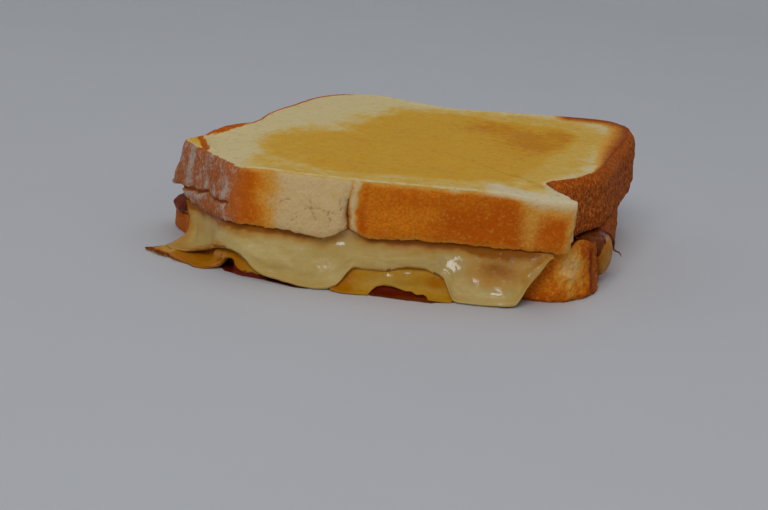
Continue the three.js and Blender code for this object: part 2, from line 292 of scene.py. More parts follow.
def ring_mesh(name: str, rings: Array, masks: Masks | None = None) -> Object:
    """A closed surface from a stack of closed rings, with a pole in the middle of the first and the last.

    Quads join each ring to the next and triangles join the end rings to their poles. Rings that run
    anticlockwise, from the lowest to the highest, give faces that point outwards.

    Args:
        name: The object's name.
        rings: Places of shape (rows, columns, 3), in millimetres.
        masks: Values of shape (rows, columns) to keep as point attributes of those names.

    Returns:
        The object, at the origin, in metres.
    """
    rows, columns, _ = rings.shape
    count = rows * columns
    places = np.concatenate([rings.reshape(-1, 3), rings[:1].mean(1), rings[-1:].mean(1)]) * MM
    grid = np.arange(count).reshape(rows, columns)
    after = np.roll(grid, -1, axis=1)
    quads = np.stack([grid[:-1], after[:-1], after[1:], grid[1:]], axis=-1).reshape(-1, 4)
    low = np.stack([np.full(columns, count), after[0], grid[0]], axis=-1)
    high = np.stack([np.full(columns, count + 1), grid[-1], after[-1]], axis=-1)
    corners = np.concatenate([quads.ravel(), low.ravel(), high.ravel()]).astype(np.int32)
    sizes = np.concatenate([np.full(len(quads), 4), np.full(2 * columns, 3)]).astype(np.int32)
    mesh = bpy.data.meshes.new(name)
    mesh.vertices.add(len(places))
    mesh.vertices.foreach_set("co", places.astype(np.float32).ravel())
    mesh.loops.add(len(corners))
    mesh.loops.foreach_set("vertex_index", corners)
    mesh.polygons.add(len(sizes))
    mesh.polygons.foreach_set("loop_start", np.concatenate([[0], np.cumsum(sizes)[:-1]]).astype(np.int32))
    mesh.polygons.foreach_set("use_smooth", np.ones(len(sizes), bool))
    mesh.update(calc_edges=True)
    for key, value in (masks or {}).items():
        value = np.broadcast_to(value, (rows, columns))
        ends = [value[0].mean(), value[-1].mean()]
        layer = mesh.attributes.new(key, "FLOAT", "POINT")
        layer.data.foreach_set("value", np.concatenate([value.ravel(), ends]).astype(np.float32))
    return in_scene(name, mesh)


def ring_normals(rings: Array) -> Array:
    """Outward directions of a stack of rings: the cross product of the steps along a ring and up the stack.

    Args:
        rings: Places of shape (rows, columns, 3).

    Returns:
        Unit vectors of the same shape.
    """
    along = np.roll(rings, -1, axis=1) - np.roll(rings, 1, axis=1)
    up = np.gradient(rings, axis=0)
    normal = np.cross(along, up)
    return normal / np.maximum(np.linalg.norm(normal, axis=-1, keepdims=True), 1e-9)


def settled(piece: Object, node: str | None = None) -> Object:
    """Hangs a piece on the root body and hides the CAD node it stands for.

    Args:
        piece: The finished piece.
        node: The CAD node that it stands for, if any.

    Returns:
        The same piece.
    """
    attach(piece, "root")
    if node:
        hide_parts(node)
    return piece


# ---- The sandwich's form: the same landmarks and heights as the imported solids, in millimetres ----

TOUCH_GAP = 0.4  # between two pieces that lie on each other
FRONT = -46.0  # y of the front, where the heights are taken
BACK_RISE = math.tan(math.radians(2.0))
TOP_HEIGHT = 28.0
TOP_UNDERSIDE = 13.3
BOTTOM_HEIGHT = 8.2
BOTTOM_WEDGE = 3.6  # how much thicker the lower slice is at the loaf's base
THIN_EDGE = 0.05  # how high the thinnest edge of a cheese lies above the table
FRONT_HALF = -12.0  # y before which cheese may hang
SHY = 3.6  # how far a hidden lip stays back at both ends
SEAM_X = -14.4

# x, y of the upper edge, then how far the lower edge lies from it; anticlockwise from the domed end.
TOP_EDGE = np.array([
    [-61.3, -11, -2.4, 4.5], [-57.4, -19.0, -1.4, 2.0], [-53.4, -25.6, -0.8, 0.4], [-48.3, -35.4, -1.0, 0.2],
    [-42.6, -44.6, -0.8, 0.2], [-34.8, -48.0, 0, 0], [-24.6, -49.9, 0, 0], [-14.6, -50.6, 0, 1.0],
    [-3, -50.7, 0, 1.6], [14, -50.8, 0, 1.8], [30, -50.8, 0, 1.8], [41.7, -50.3, -1.7, 1.2],
    [40.7, -46.0, 1.0, 2.2], [35.8, -36.8, 6.2, -0.8], [44.9, -28, 0.6, -1.2], [50.4, -19.4, 0.6, -1.0],
    [53.4, -10.8, 0.8, 0], [58.9, 9.2, 0.8, 0], [64.4, 31, 0.8, 0], [65.4, 42, 1.2, 1.0],
    [60.2, 49.2, 0, 1.0], [38, 50, 0, 0.5], [12.9, 47.4, 0, 0.5], [0.6, 51.4, 0, 0.5],
    [-9.7, 56.8, 0, -0.5], [-21.1, 54.9, -1, 0.5], [-29.8, 46, -2, 1.5], [-36.2, 32, -2.4, 2.5],
    [-42.2, 20, -3.2, 4], [-45.6, 7, -7.5, 6.5], [-50.8, 0.6, -9.5, 6.5], [-58.2, -8.2, -7.2, 8.0],
])
BOTTOM_EDGE = np.array([
    [-63.6, -1, 0, 0], [-61.8, -8, 0, 0], [-57.6, -13.8, 0.6, -0.4], [-53.5, -20, 0.8, -0.4],
    [-49.5, -28, 0.8, -0.4], [-45, -36.4, 0.6, -0.5], [-38.5, -42.8, 0, -0.6], [-28, -44.6, 0, -0.6],
    [-10, -44.8, 0, -0.6], [12, -44.8, 0, -0.6], [29, -45.2, 0, -0.8], [38, -46.4, 0.6, -0.4],
    [43.6, -42.2, 0.8, -0.6], [47.3, -36.3, 1.1, -2.0], [49.7, -29.7, 1.2, -2.6], [51.2, -20.5, 0.9, -1.5],
    [54.4, -8, 0.8, -0.5], [58.4, 9, 0.6, 0], [61.0, 24, 0.4, 0], [58.4, 37, 0.4, 0],
    [48, 46, 0, 0.4], [30, 47.4, 0, 0.4], [13, 46, 0, 0.4], [2, 48.6, 0, 0.4],
    [-9.5, 54.6, 0, 0.4], [-21, 52.4, -0.4, 0.4], [-30.6, 43.4, -0.4, 0.2], [-38, 30, -0.5, 0.2],
    [-45.5, 17.5, -0.6, 0.2], [-54, 9.5, -0.4, 0.2],
])
# x, height and flare of the cheeses' lower edges along the front.
PALE_HEM = np.array([
    [-57.5, 10.5, 0], [-57, 9.0, 0], [-56, 7.2, 0.6], [-55, 5.4, 1.1], [-54, 3.8, 1.9], [-53.2, 2.4, 3.0],
    [-52.7, 1.6, 4.6], [-52.2, 1.0, 7.2], [-51.6, 0.7, 9.2], [-51.0, 0.5, 9.8], [-50.3, 0.4, 9.2],
    [-49.0, 0.6, 7.0], [-48.0, 1.2, 5.6], [-46.6, 2.5, 4.0], [-45.0, 4.1, 2.6], [-43.0, 5.4, 1.6],
    [-41.0, 6.0, 1.2], [-39.6, 6.0, 1.0], [-38.4, 5.2, 1.1], [-37.2, 4.0, 1.4], [-35.6, 2.4, 1.9],
    [-34.0, 1.5, 2.3], [-31.5, 1.1, 2.8], [-28.0, 0.8, 3.9], [-24.4, 0.3, 4.6], [-21.2, 0.1, 4.8],
    [-18.6, 0.2, 4.3], [-16.5, 0.7, 3.4], [-15.2, 1.8, 2.5], [-13.8, 4.0, 1.4], [-12.2, 5.5, 1.0],
    [-9.3, 5.2, 1.0], [-4.3, 5.1, 0.9], [-0.6, 6.2, 0.8], [1.5, 6.7, 0.8], [5.3, 6.6, 0.8], [8.4, 5.5, 1.0],
    [10.8, 4.3, 1.6], [12.0, 2.2, 3.4], [12.9, 0.3, 5.2], [14.5, 0.1, 5.8], [20, 0.1, 6.0], [26, 0.1, 5.2],
    [29.0, 0.3, 4.4], [30.7, 1.9, 3.2], [32.1, 4.8, 2.0], [33.6, 7.0, 1.2], [35.0, 9.2, 0.7], [36.2, 12.2, 0.3],
    [37.0, 13.5, 0],
])
AMBER_HEM = np.array([
    [-52.6, 6.2, 0], [-52.3, 3.0, 0.8], [-52.1, 1.4, 3.0], [-51.95, 0.8, 8.0], [-51.8, 0.4, 13.8],
    [-51.3, 0.1, 16.8], [-49.6, 0.1, 15.4], [-48.7, 0.1, 14.6], [-47, 0.1, 12.4], [-44.4, 0.1, 9.3],
    [-42.4, 0.1, 6.9], [-41.0, 0.1, 5.6], [-39.0, 0.1, 4.4], [-37.0, 0.1, 4.0], [-35.0, 0.1, 3.6],
    [-34.0, 0.1, 3.0], [-33.3, 2.5, 1.4], [-32.4, 5.0, 0.2], [-31, 6.0, 0], [-19.5, 5.4, 0], [-18.4, 1.4, 4.4],
    [-17.2, 0.2, 7.0], [-14.6, 0.1, 8.0], [-11.8, 0.1, 8.0], [-8.6, 0.1, 7.8], [-4.0, 0.1, 7.2],
    [0.0, 0.1, 7.0], [4.0, 0.1, 7.2], [7.4, 0.1, 7.8], [9.9, 0.1, 8.2], [12.3, 0.1, 8.0], [14, 0.1, 6.0],
    [16, 3.6, 0], [29, 4.4, 0], [31.5, 6.0, 0], [34.4, 13.5, 0], [36, 13.5, 0],
])
# x and height of the notches torn in the amber cheese's lower edge.
AMBER_NOTCH = np.array([
    [-42.7, 0], [-42.4, 2.6], [-42.0, 3.5], [-40.8, 3.8], [-40.0, 3.4], [-39.4, 2.0], [-38.6, 1.6], [-37.6, 1.4],
    [-36.6, 1.8], [-35.4, 1.4], [-34.4, 1.6], [-33.6, 1.6], [-33.3, 0], [-8.4, 0], [-7.3, 0.7], [-6.2, 1.5],
    [-4.6, 1.9], [-2.6, 1.9], [-0.8, 1.5], [1.0, 1.1], [2.6, 1.15], [4.0, 0.7], [5.9, 0.85], [7.0, 0.3], [7.4, 0],
])


def notch_height(x: Array) -> Array:
    """Height of the notches torn in the amber cheese's lower edge; 0 where it is whole."""
    return np.interp(x, AMBER_NOTCH[:, 0], AMBER_NOTCH[:, 1])


def droop(x: Array) -> Array:
    """How far the top slice bends down towards the domed end."""
    return 3.0 * ramp(-34, -60, x)


def cut_corner(x: Array, y: Array) -> Array:
    """1 at the lower slice's cut corner, where no filling comes out, and 0 away from it."""
    return ramp(36, 41, x) * ramp(-24, -30, y)


def top_face(x: Array, y: Array, reach: Array) -> Array:
    """Height of the top slice's upper face: a plane rising to the back, bent down at the dome and the torn
    ear, dished by up to 0.5 mm inside its edge and curled up at the domed end's rim.

    Args:
        x: Places along the loaf.
        y: Places across it.
        reach: 1 at the face's edge and 0 in its middle.

    Returns:
        Heights.
    """
    sag = droop(x) + ramp(22, 34, x) * ramp(-30, -48, y)
    curl = 1.2 * np.exp(-(((x + 50) / 7) ** 2) - (((y - 1) / 7) ** 2))
    return TOP_HEIGHT + BACK_RISE * (y - FRONT) - sag - 0.5 * (1 - reach**3) + curl * reach**8


def top_underside(x: Array, y: Array) -> Array:
    """Height of the top slice's lower face: the same plane, drooping at the dome and along the loaf's base."""
    rise = TOP_UNDERSIDE + 0.2 * ramp(-20, 0, x) + BACK_RISE * (y - FRONT)
    return rise - droop(x) - 1.2 * ramp(46, 60, x) * ramp(-8, 8, y)


def bottom_face(x: Array, y: Array) -> Array:
    """Height of the bottom slice's upper face: squashed at the dome and lifted at the cut corner."""
    lift = 1.2 * np.exp(-(((x - 45) / 5) ** 2) - (((y + 41) / 6) ** 2))
    return BOTTOM_HEIGHT + BOTTOM_WEDGE * ramp(-50, 60, x) - 3.2 * ramp(-44, -62, x) + 0.02 * (y - FRONT) + lift


def between(x: Array, y: Array, share: float) -> Array:
    """A height between the slices: 0 lies on the bottom one and 1 under the top one, clear of both."""
    low = bottom_face(x, y) + TOUCH_GAP
    return low + np.maximum(0.0, top_underside(x, y) - TOUCH_GAP - low) * share


@dataclass
class Outline:
    """A slice's edge, sampled at even steps: upper and lower curve, outward direction and landmark number."""

    upper: Array
    lower: Array
    outward: Array
    station: Array

    @classmethod
    def of(cls, landmarks: Array, columns: int) -> "Outline":
        """Samples the closed curves through landmarks, most densely along the front and at the loaf's base.

        Args:
            landmarks: Rows of x, y, dx, dy.
            columns: How many samples.

        Returns:
            The outline.
        """
        fine = np.linspace(0, len(landmarks), 40 * len(landmarks) + 1)
        line = closed_curve(landmarks[:, :2], fine)
        run = np.linalg.norm(np.diff(line, axis=0), axis=1) * (
            1 + 1.8 * ramp(-4, -20, line[1:, 1]) + 0.6 * ramp(30, 50, line[1:, 0]))
        run = np.concatenate([[0], np.cumsum(run)])
        station = np.interp(np.linspace(0, run[-1], columns, endpoint=False), run, fine)
        upper = closed_curve(landmarks[:, :2], station)
        lower = closed_curve(landmarks[:, :2] + landmarks[:, 2:], station)
        step = unit(np.roll(lower, -2, axis=0) - np.roll(lower, 2, axis=0))
        return cls(upper, lower, np.stack([step[:, 1], -step[:, 0]], axis=1), station)


# ---- Shader building ----


class Sheet:
    """A node tree with short ways to place nodes and join them."""

    def __init__(self, tree: Tree) -> None:
        """Starts on a tree."""
        self.tree = tree

    def feed(self, socket: Socket, value: object) -> None:
        """Links value to socket if it is a socket, and otherwise sets it there.

        Args:
            socket: The input.
            value: A socket, a number or a colour.
        """
        if isinstance(value, Socket):
            self.tree.links.new(value, socket)
        elif isinstance(value, tuple) and len(value) == 3 and socket.type == "RGBA":
            socket.default_value = (*value, 1.0)
        else:
            socket.default_value = value

    def node(self, kind: str, inputs: dict | None = None, **settings: object) -> Node:
        """Places a node.

        Args:
            kind: Its type.
            inputs: What feeds its inputs, which are named or numbered.
            **settings: Its settings.

        Returns:
            The node.
        """
        made = self.tree.nodes.new(kind)
        for key, value in settings.items():
            setattr(made, key, value)
        for key, value in (inputs or {}).items():
            self.feed(made.inputs[key], value)
        return made

    def place(self) -> Socket:
        """The place on the object, in metres."""
        return self.node("ShaderNodeTexCoord").outputs["Object"]

    def stretched(self, scale: tuple[float, float, float]) -> Socket:
        """The place on the object with its three directions scaled, so that a pattern runs in streaks."""
        return self.node("ShaderNodeMapping", {"Vector": self.place(), "Scale": scale}).outputs[0]

    def mask(self, name: str) -> Socket:
        """A value that the mesh carries at its points."""
        return self.node("ShaderNodeAttribute", attribute_name=name).outputs["Fac"]

    def math(self, operation: str, a: object, b: object) -> Socket:
        """One sum of two values."""
        return self.node("ShaderNodeMath", {0: a, 1: b}, operation=operation).outputs[0]

    def plus(self, a: object, b: object) -> Socket:
        """Two values added."""
        return self.math("ADD", a, b)

    def times(self, a: object, b: object) -> Socket:
        """Two values multiplied."""
        return self.math("MULTIPLY", a, b)

    def blend(self, share: object, a: object, b: object, numbers: bool = False) -> Socket:
        """Turns a into b by share.

        Args:
            share: From 0 to 1.
            a: The colour or number where share is 0.
            b: The one where it is 1.
            numbers: Whether they are numbers.

        Returns:
            The blend.
        """
        made = self.node("ShaderNodeMix", data_type="FLOAT" if numbers else "RGBA")
        first, result = (2, 0) if numbers else (6, 2)
        for index, value in ((0, share), (first, a), (first + 1, b)):
            self.feed(made.inputs[index], value)
        return made.outputs[result]

    def clouds(self, scale: object, detail: float, rough: float = 0.5, vector: object = None) -> Socket:
        """Cloudy noise around 0.5, at the place on the object if no vector is given."""
        feed = {"Scale": scale, "Detail": detail, "Roughness": rough, "Vector": vector or self.place()}
        return self.node("ShaderNodeTexNoise", feed).outputs["Fac"]

    def noise(self, size: float, detail: float = 4.0, vector: object = None, rough: float = 0.55) -> Socket:
        """Cloudy noise around 0.5 whose spots are about size millimetres apart."""
        return self.clouds(1.0 / (size * MM), detail, rough, vector)

    def swing(
            self, size: float, amount: float, detail: float = 5.0, vector: object = None, rough: float = 0.55,
    ) -> Socket:
        """The same noise around 0, times amount."""
        return self.times(self.math("SUBTRACT", self.noise(size, detail, vector, rough), 0.5), amount)

    def window(self, value: object, low: object, high: object, to: tuple[float, float] = (0.0, 1.0)) -> Socket:
        """Stretches a value smoothly from low-high to another range, and holds it outside.

        Args:
            value: The value.
            low: Where the result is the first of `to`.
            high: Where it is the second; may be the lower.
            to: The range of the result.

        Returns:
            The stretched value.
        """
        feed = {"Value": value, "From Min": low, "From Max": high, "To Min": to[0], "To Max": to[1]}
        return self.node("ShaderNodeMapRange", feed, interpolation_type="SMOOTHSTEP").outputs[0]

    def group(self, tree: Tree, inputs: dict) -> Node:
        """Places a node group.

        Args:
            tree: The group.
            inputs: What feeds its inputs.

        Returns:
            The group's node.
        """
        made = self.tree.nodes.new("ShaderNodeGroup")
        made.node_tree = tree
        for key, value in inputs.items():
            self.feed(made.inputs[key], value)
        return made


def new_group(name: str, inputs: dict[str, tuple], outputs: dict[str, str]) -> tuple[Sheet, dict, Node]:
    """An empty node group with named sockets.

    Args:
        name: The group's name.
        inputs: Socket kind and default value by name.
        outputs: Socket kind by name.

    Returns:
        The group's sheet, its input sockets by name, and its output node.
    """
    tree = bpy.data.node_groups.new(name, "ShaderNodeTree")
    for key, (kind, default) in inputs.items():
        socket = tree.interface.new_socket(key, in_out="INPUT", socket_type=kind)
        socket.default_value = (*default, 1.0) if kind == COLOUR else default
    for key, kind in outputs.items():
        tree.interface.new_socket(key, in_out="OUTPUT", socket_type=kind)
    sheet = Sheet(tree)
    entry = sheet.node("NodeGroupInput")
    return sheet, {key: entry.outputs[key] for key in inputs}, sheet.node("NodeGroupOutput")


@dataclass(frozen=True)
class Effects:
    """The shader groups that more than one material uses."""

    speckle: Tree
    mottle: Tree
    crumb: Tree
    gloss: Tree

    @classmethod
    def build(cls) -> "Effects":
        """Builds each group once."""
        return cls(cls._speckle(), cls._mottle(), cls._crumb(), cls._gloss())

    def spots(self, sheet: Sheet, scale: float, amount: object, softness: float) -> Socket:
        """Places the speckle group on a sheet and gives its mask."""
        feed = {"Scale": scale, "Amount": amount, "Softness": softness}
        return sheet.group(self.speckle, feed).outputs["Mask"]

    @staticmethod
    def _speckle() -> Tree:
        """Scattered spots: fine noise cut at a level that Amount lowers.

        Returns:
            The group.
        """
        sheet, given, out = new_group(
            "speckle", {"Scale": (NUMBER, 900.0), "Amount": (NUMBER, 0.5), "Softness": (NUMBER, 0.06)},
            {"Mask": NUMBER})
        fine = sheet.clouds(given["Scale"], 5.0, 0.62)
        level = sheet.math("SUBTRACT", 0.78, sheet.times(given["Amount"], 0.56))
        sheet.feed(out.inputs["Mask"], sheet.window(fine, level, sheet.plus(level, given["Softness"])))
        return sheet.tree

    @staticmethod
    def _mottle() -> Tree:
        """Darkens a colour in broad clouds and fine flecks.

        Returns:
            The group.
        """
        sheet, given, out = new_group(
            "mottle",
            {"Color": (COLOUR, (0.5, 0.5, 0.5)), "Dark": (COLOUR, (0.2, 0.1, 0.05)), "Broad": (NUMBER, 120.0),
             "Fine": (NUMBER, 700.0), "Amount": (NUMBER, 0.5)},
            {"Color": COLOUR})
        broad = sheet.window(sheet.clouds(given["Broad"], 4.0, 0.6), 0.38, 0.68)
        flecks = sheet.window(sheet.clouds(given["Fine"], 4.0, 0.65), 0.45, 0.66)
        both = sheet.plus(sheet.times(broad, 0.6), sheet.times(flecks, 0.4))
        mottled = sheet.blend(sheet.times(both, given["Amount"]), given["Color"], given["Dark"])
        sheet.feed(out.inputs["Color"], mottled)
        return sheet.tree

    @staticmethod
    def _crumb() -> Tree:
        """Bread's open crumb: small and larger pores as sunken cells, with a mask that is 1 in a pore.

        Returns:
            The group.
        """
        sheet, given, out = new_group(
            "crumb", {"Scale": (NUMBER, 700.0), "Openness": (NUMBER, 0.5)}, {"Height": NUMBER, "Pore": NUMBER})
        place = sheet.place()
        bent = sheet.node("ShaderNodeTexNoise", {"Vector": place, "Scale": 300.0, "Detail": 3.0})
        shift = sheet.node(
            "ShaderNodeVectorMath", {0: bent.outputs["Color"], 1: (1.2 * MM,) * 3}, operation="MULTIPLY")
        moved = sheet.node("ShaderNodeVectorMath", {0: place, 1: shift.outputs[0]}, operation="ADD").outputs[0]
        edge = sheet.times(given["Openness"], 0.5)
        pores = []
        for scale, wide in ((given["Scale"], edge), (sheet.times(given["Scale"], 0.37), sheet.times(edge, 0.9))):
            cells = sheet.node("ShaderNodeTexVoronoi", {"Vector": moved, "Scale": scale})
            pores.append(sheet.window(cells.outputs["Distance"], wide, 0.0))
        pore = sheet.math("MAXIMUM", *pores)
        sheet.feed(out.inputs["Pore"], pore)
        sheet.feed(out.inputs["Height"], sheet.math("SUBTRACT", 1.0, pore))
        return sheet.tree

    @staticmethod
    def _gloss() -> Tree:
        """Melted fat's uneven shine: roughness around Base with satin clouds and wet spots, and low blisters.

        Returns:
            The group.
        """
        sheet, given, out = new_group(
            "gloss", {"Base": (NUMBER, 0.3), "Spread": (NUMBER, 0.15), "Blisters": (NUMBER, 0.5)},
            {"Roughness": NUMBER, "Height": NUMBER, "Wet": NUMBER})
        clouds, fine = sheet.clouds(180.0, 4.0), sheet.clouds(900.0, 3.0)
        swing = sheet.times(sheet.math("SUBTRACT", clouds, 0.5), given["Spread"])
        sheet.feed(out.inputs["Roughness"], sheet.plus(given["Base"], sheet.times(swing, 4.0)))
        sheet.feed(out.inputs["Wet"], sheet.window(clouds, 0.5, 0.62))
        cells = sheet.node("ShaderNodeTexVoronoi", {"Vector": sheet.place(), "Scale": 520.0})
        blister = sheet.window(cells.outputs["Distance"], 0.45, 0.1)
        raised = sheet.times(sheet.times(blister, clouds), given["Blisters"])
        sheet.feed(out.inputs["Height"], sheet.plus(sheet.times(fine, 0.5), raised))
        return sheet.tree


def principled(sheet: Sheet, inputs: dict) -> None:
    """Places the shader with its inputs and joins it to the material's output."""
    shader = sheet.node("ShaderNodeBsdfPrincipled", inputs)
    sheet.node("ShaderNodeOutputMaterial", {"Surface": shader.outputs[0]})


def new_material(name: str) -> tuple[Material, Sheet]:
    """An empty node material.

    Args:
        name: Its name.

    Returns:
        The material and its sheet.
    """
    material = bpy.data.materials.new(name)
    material.use_nodes = True
    material.node_tree.nodes.clear()
    return material, Sheet(material.node_tree)


@dataclass(frozen=True)
class BreadFinish:
    """Toasted white bread: a face fried from pale crumb to gold, and a baked crust round its sides."""

    name: str
    effects: Effects
    crumb: Colour = (0.78, 0.64, 0.33)
    butter: Colour = (0.78, 0.51, 0.11)
    toast: Colour = (0.76, 0.41, 0.036)
    deep: Colour = (0.66, 0.25, 0.008)
    white: Colour = (0.82, 0.71, 0.47)
    gold: Colour = (0.84, 0.255, 0.011)
    brown: Colour = (0.61, 0.12, 0.003)
    dark: Colour = (0.64, 0.16, 0.02)
    black: Colour = (0.26, 0.04, 0.004)
    shred: Colour = (0.80, 0.58, 0.29)
    honey: Colour = (0.80, 0.38, 0.055)
    flour: Colour = (0.62, 0.52, 0.44)
    # Maroon for painted shade in hollows and beside the drip, with juice stain.
    damp: Colour = (0.2, 0.016, 0.002)
    dull: Colour = (0.40, 0.21, 0.12)
    seared: Colour = (0.56, 0.17, 0.015)
    charred: Colour = (0.3, 0.05, 0.006)
    straw: Colour = (0.70, 0.45, 0.13)
    # Painted shade round each crack.
    crack_shade: Colour = (0.4, 0.17, 0.05)
    grain: float = 0.35

    def build(self) -> Material:
        """Builds the material.

        Returns:
            The material. It reads the masks that LoafSlice puts on its mesh.
        """
        material, s = new_material(self.name)
        face, face_height = self._face(s)
        wall, wall_height = self._wall(s)
        crust = s.window(s.plus(s.mask("crust"), s.swing(1.1, 0.5, 4.0)), 0.25, 0.75)
        # This mask turns the bread maroon: painted shade in hollows and beside the drip, with juice stain.
        colour = s.blend(s.mask("damp"), s.blend(crust, face, wall), self.damp)
        height = s.blend(crust, face_height, wall_height, numbers=True)
        bump = s.node("ShaderNodeBump", {"Strength": 0.6, "Distance": 0.4 * MM, "Height": height})
        shine = s.window(s.noise(9.0), 0.35, 0.7, (0.66, 0.5))
        principled(s, {
            "Base Color": colour, "Roughness": shine, "Normal": bump.outputs[0],
            "Subsurface Weight": 0.1, "Subsurface Radius": (1.0, 0.5, 0.2), "Subsurface Scale": 1.2 * MM,
            "Specular IOR Level": 0.04,
        })
        return material

    def _face(self, s: Sheet) -> tuple[Socket, Socket]:
        """The fried face: pale crumb, a buttery margin, gold and deep gold, with fine pores and flecks.

        Args:
            s: The material's sheet.

        Returns:
            Its colour and its height.
        """
        small = s.swing(1.3, 0.8, vector=s.stretched((0.6, 1.0, 1.0)))
        level = s.plus(s.mask("toast"), s.plus(s.swing(9.0, 0.55), small))
        base = s.blend(s.window(level, 0.0, 0.4), self.crumb, self.butter)
        base = s.blend(s.window(level, 0.25, 0.68), base, self.toast)
        base = s.blend(s.window(level, 0.7, 1.1), base, self.deep)
        base = s.blend(s.mask("white"), base, self.white)
        crumb = s.group(self.effects.crumb, {"Scale": 640.0, "Openness": 0.62})
        base = s.blend(s.times(crumb.outputs["Pore"], 0.22), base, self.deep)
        flecks = self.effects.spots(s, 900.0, 0.5, 0.12)
        base = s.blend(s.times(flecks, s.window(level, 0.1, 0.8, (0.04, 0.3))), base, self.deep)
        scorch = s.plus(s.mask("sear"), s.swing(0.8, 1.1, rough=0.7))
        base = s.blend(s.window(scorch, 0.1, 0.5), base, self.honey)
        base = s.blend(s.window(scorch, 0.4, 0.9), base, self.seared)
        base = s.blend(s.window(scorch, 0.8, 1.2), base, self.charred)
        return base, s.plus(s.times(crumb.outputs["Height"], 1.1), s.noise(1.1))

    def _wall(self, s: Sheet) -> tuple[Socket, Socket]:
        """The crust: golden brown, darker at the loaf's base, pale where it tore open, dusted with flour, with painted
        highlights on the base and painted shade in the cracks.

        Args:
            s: The material's sheet.

        Returns:
            Its colour and its height.
        """
        cloud, grain = s.swing(4.5, 0.7), s.swing(0.7, 1.2, rough=0.65)
        level = s.plus(s.mask("brown"), s.plus(cloud, grain))
        base = s.blend(s.window(level, 0.05, 0.95), self.gold, self.brown)
        pits = self.effects.spots(s, 1500.0, 0.62, 0.12)
        base = s.blend(s.times(pits, self.grain), base, self.brown)
        base = s.blend(s.times(self.effects.spots(s, 1150.0, 0.44, 0.1), self.grain), base, self.honey)
        streak = s.noise(0.7, 6.0, s.stretched((1.0, 1.0, 0.6)), 0.72)
        # Painted highlights: pale dots of shred colour on the dark base crust stand in for small glints.
        glint_specks = s.window(s.noise(0.55, 4.0, s.stretched((1.0, 1.0, 0.7)), 0.7), 0.57, 0.7, (0.0, 0.6))
        night = s.blend(s.window(streak, 0.45, 0.57), self.black, self.dark)
        night = s.blend(s.window(streak, 0.54, 0.72, (0.0, 0.6)), night, self.gold)
        night = s.blend(glint_specks, night, self.shred)
        base = s.blend(s.mask("base"), base, night)
        soft = s.group(self.effects.mottle, {
            "Color": self.shred, "Dark": self.straw, "Broad": 300.0, "Fine": 1000.0, "Amount": 0.46})
        pale = s.plus(s.mask("pale"), s.plus(s.times(cloud, 0.55), s.times(grain, 0.5)))
        base = s.blend(s.window(pale, 0.05, 0.5), base, self.honey)
        base = s.blend(s.window(pale, 0.42, 0.95), base, soft.outputs["Color"])
        dots = s.times(s.window(pits, 0.5, 1.0, (0.0, 0.22)), s.window(pale, 1.3, 0.5))
        base = s.blend(dots, base, self.brown)
        base = s.blend(s.mask("white"), base, self.white)
        dust = self.effects.spots(s, 1100.0, s.mask("flour"), 0.36)
        base = s.blend(s.times(s.mask("flour"), 0.5), base, self.dull)
        base = s.blend(s.times(dust, 0.8), base, self.flour)
        # Painted shade in the cracks and the seam's split: brown round each crack and black at its core.
        base = s.blend(s.window(s.mask("crack"), 0.0, 0.7, (0.0, 0.6)), base, self.crack_shade)
        base = s.blend(s.window(s.mask("crack"), 0.6, 1.0, (0.0, 0.8)), base, self.black)
        lumps = s.plus(s.times(s.noise(0.75), 1.3), s.noise(2.4, 3.0))
        return base, s.plus(lumps, s.times(s.times(streak, s.mask("base")), 2.4))


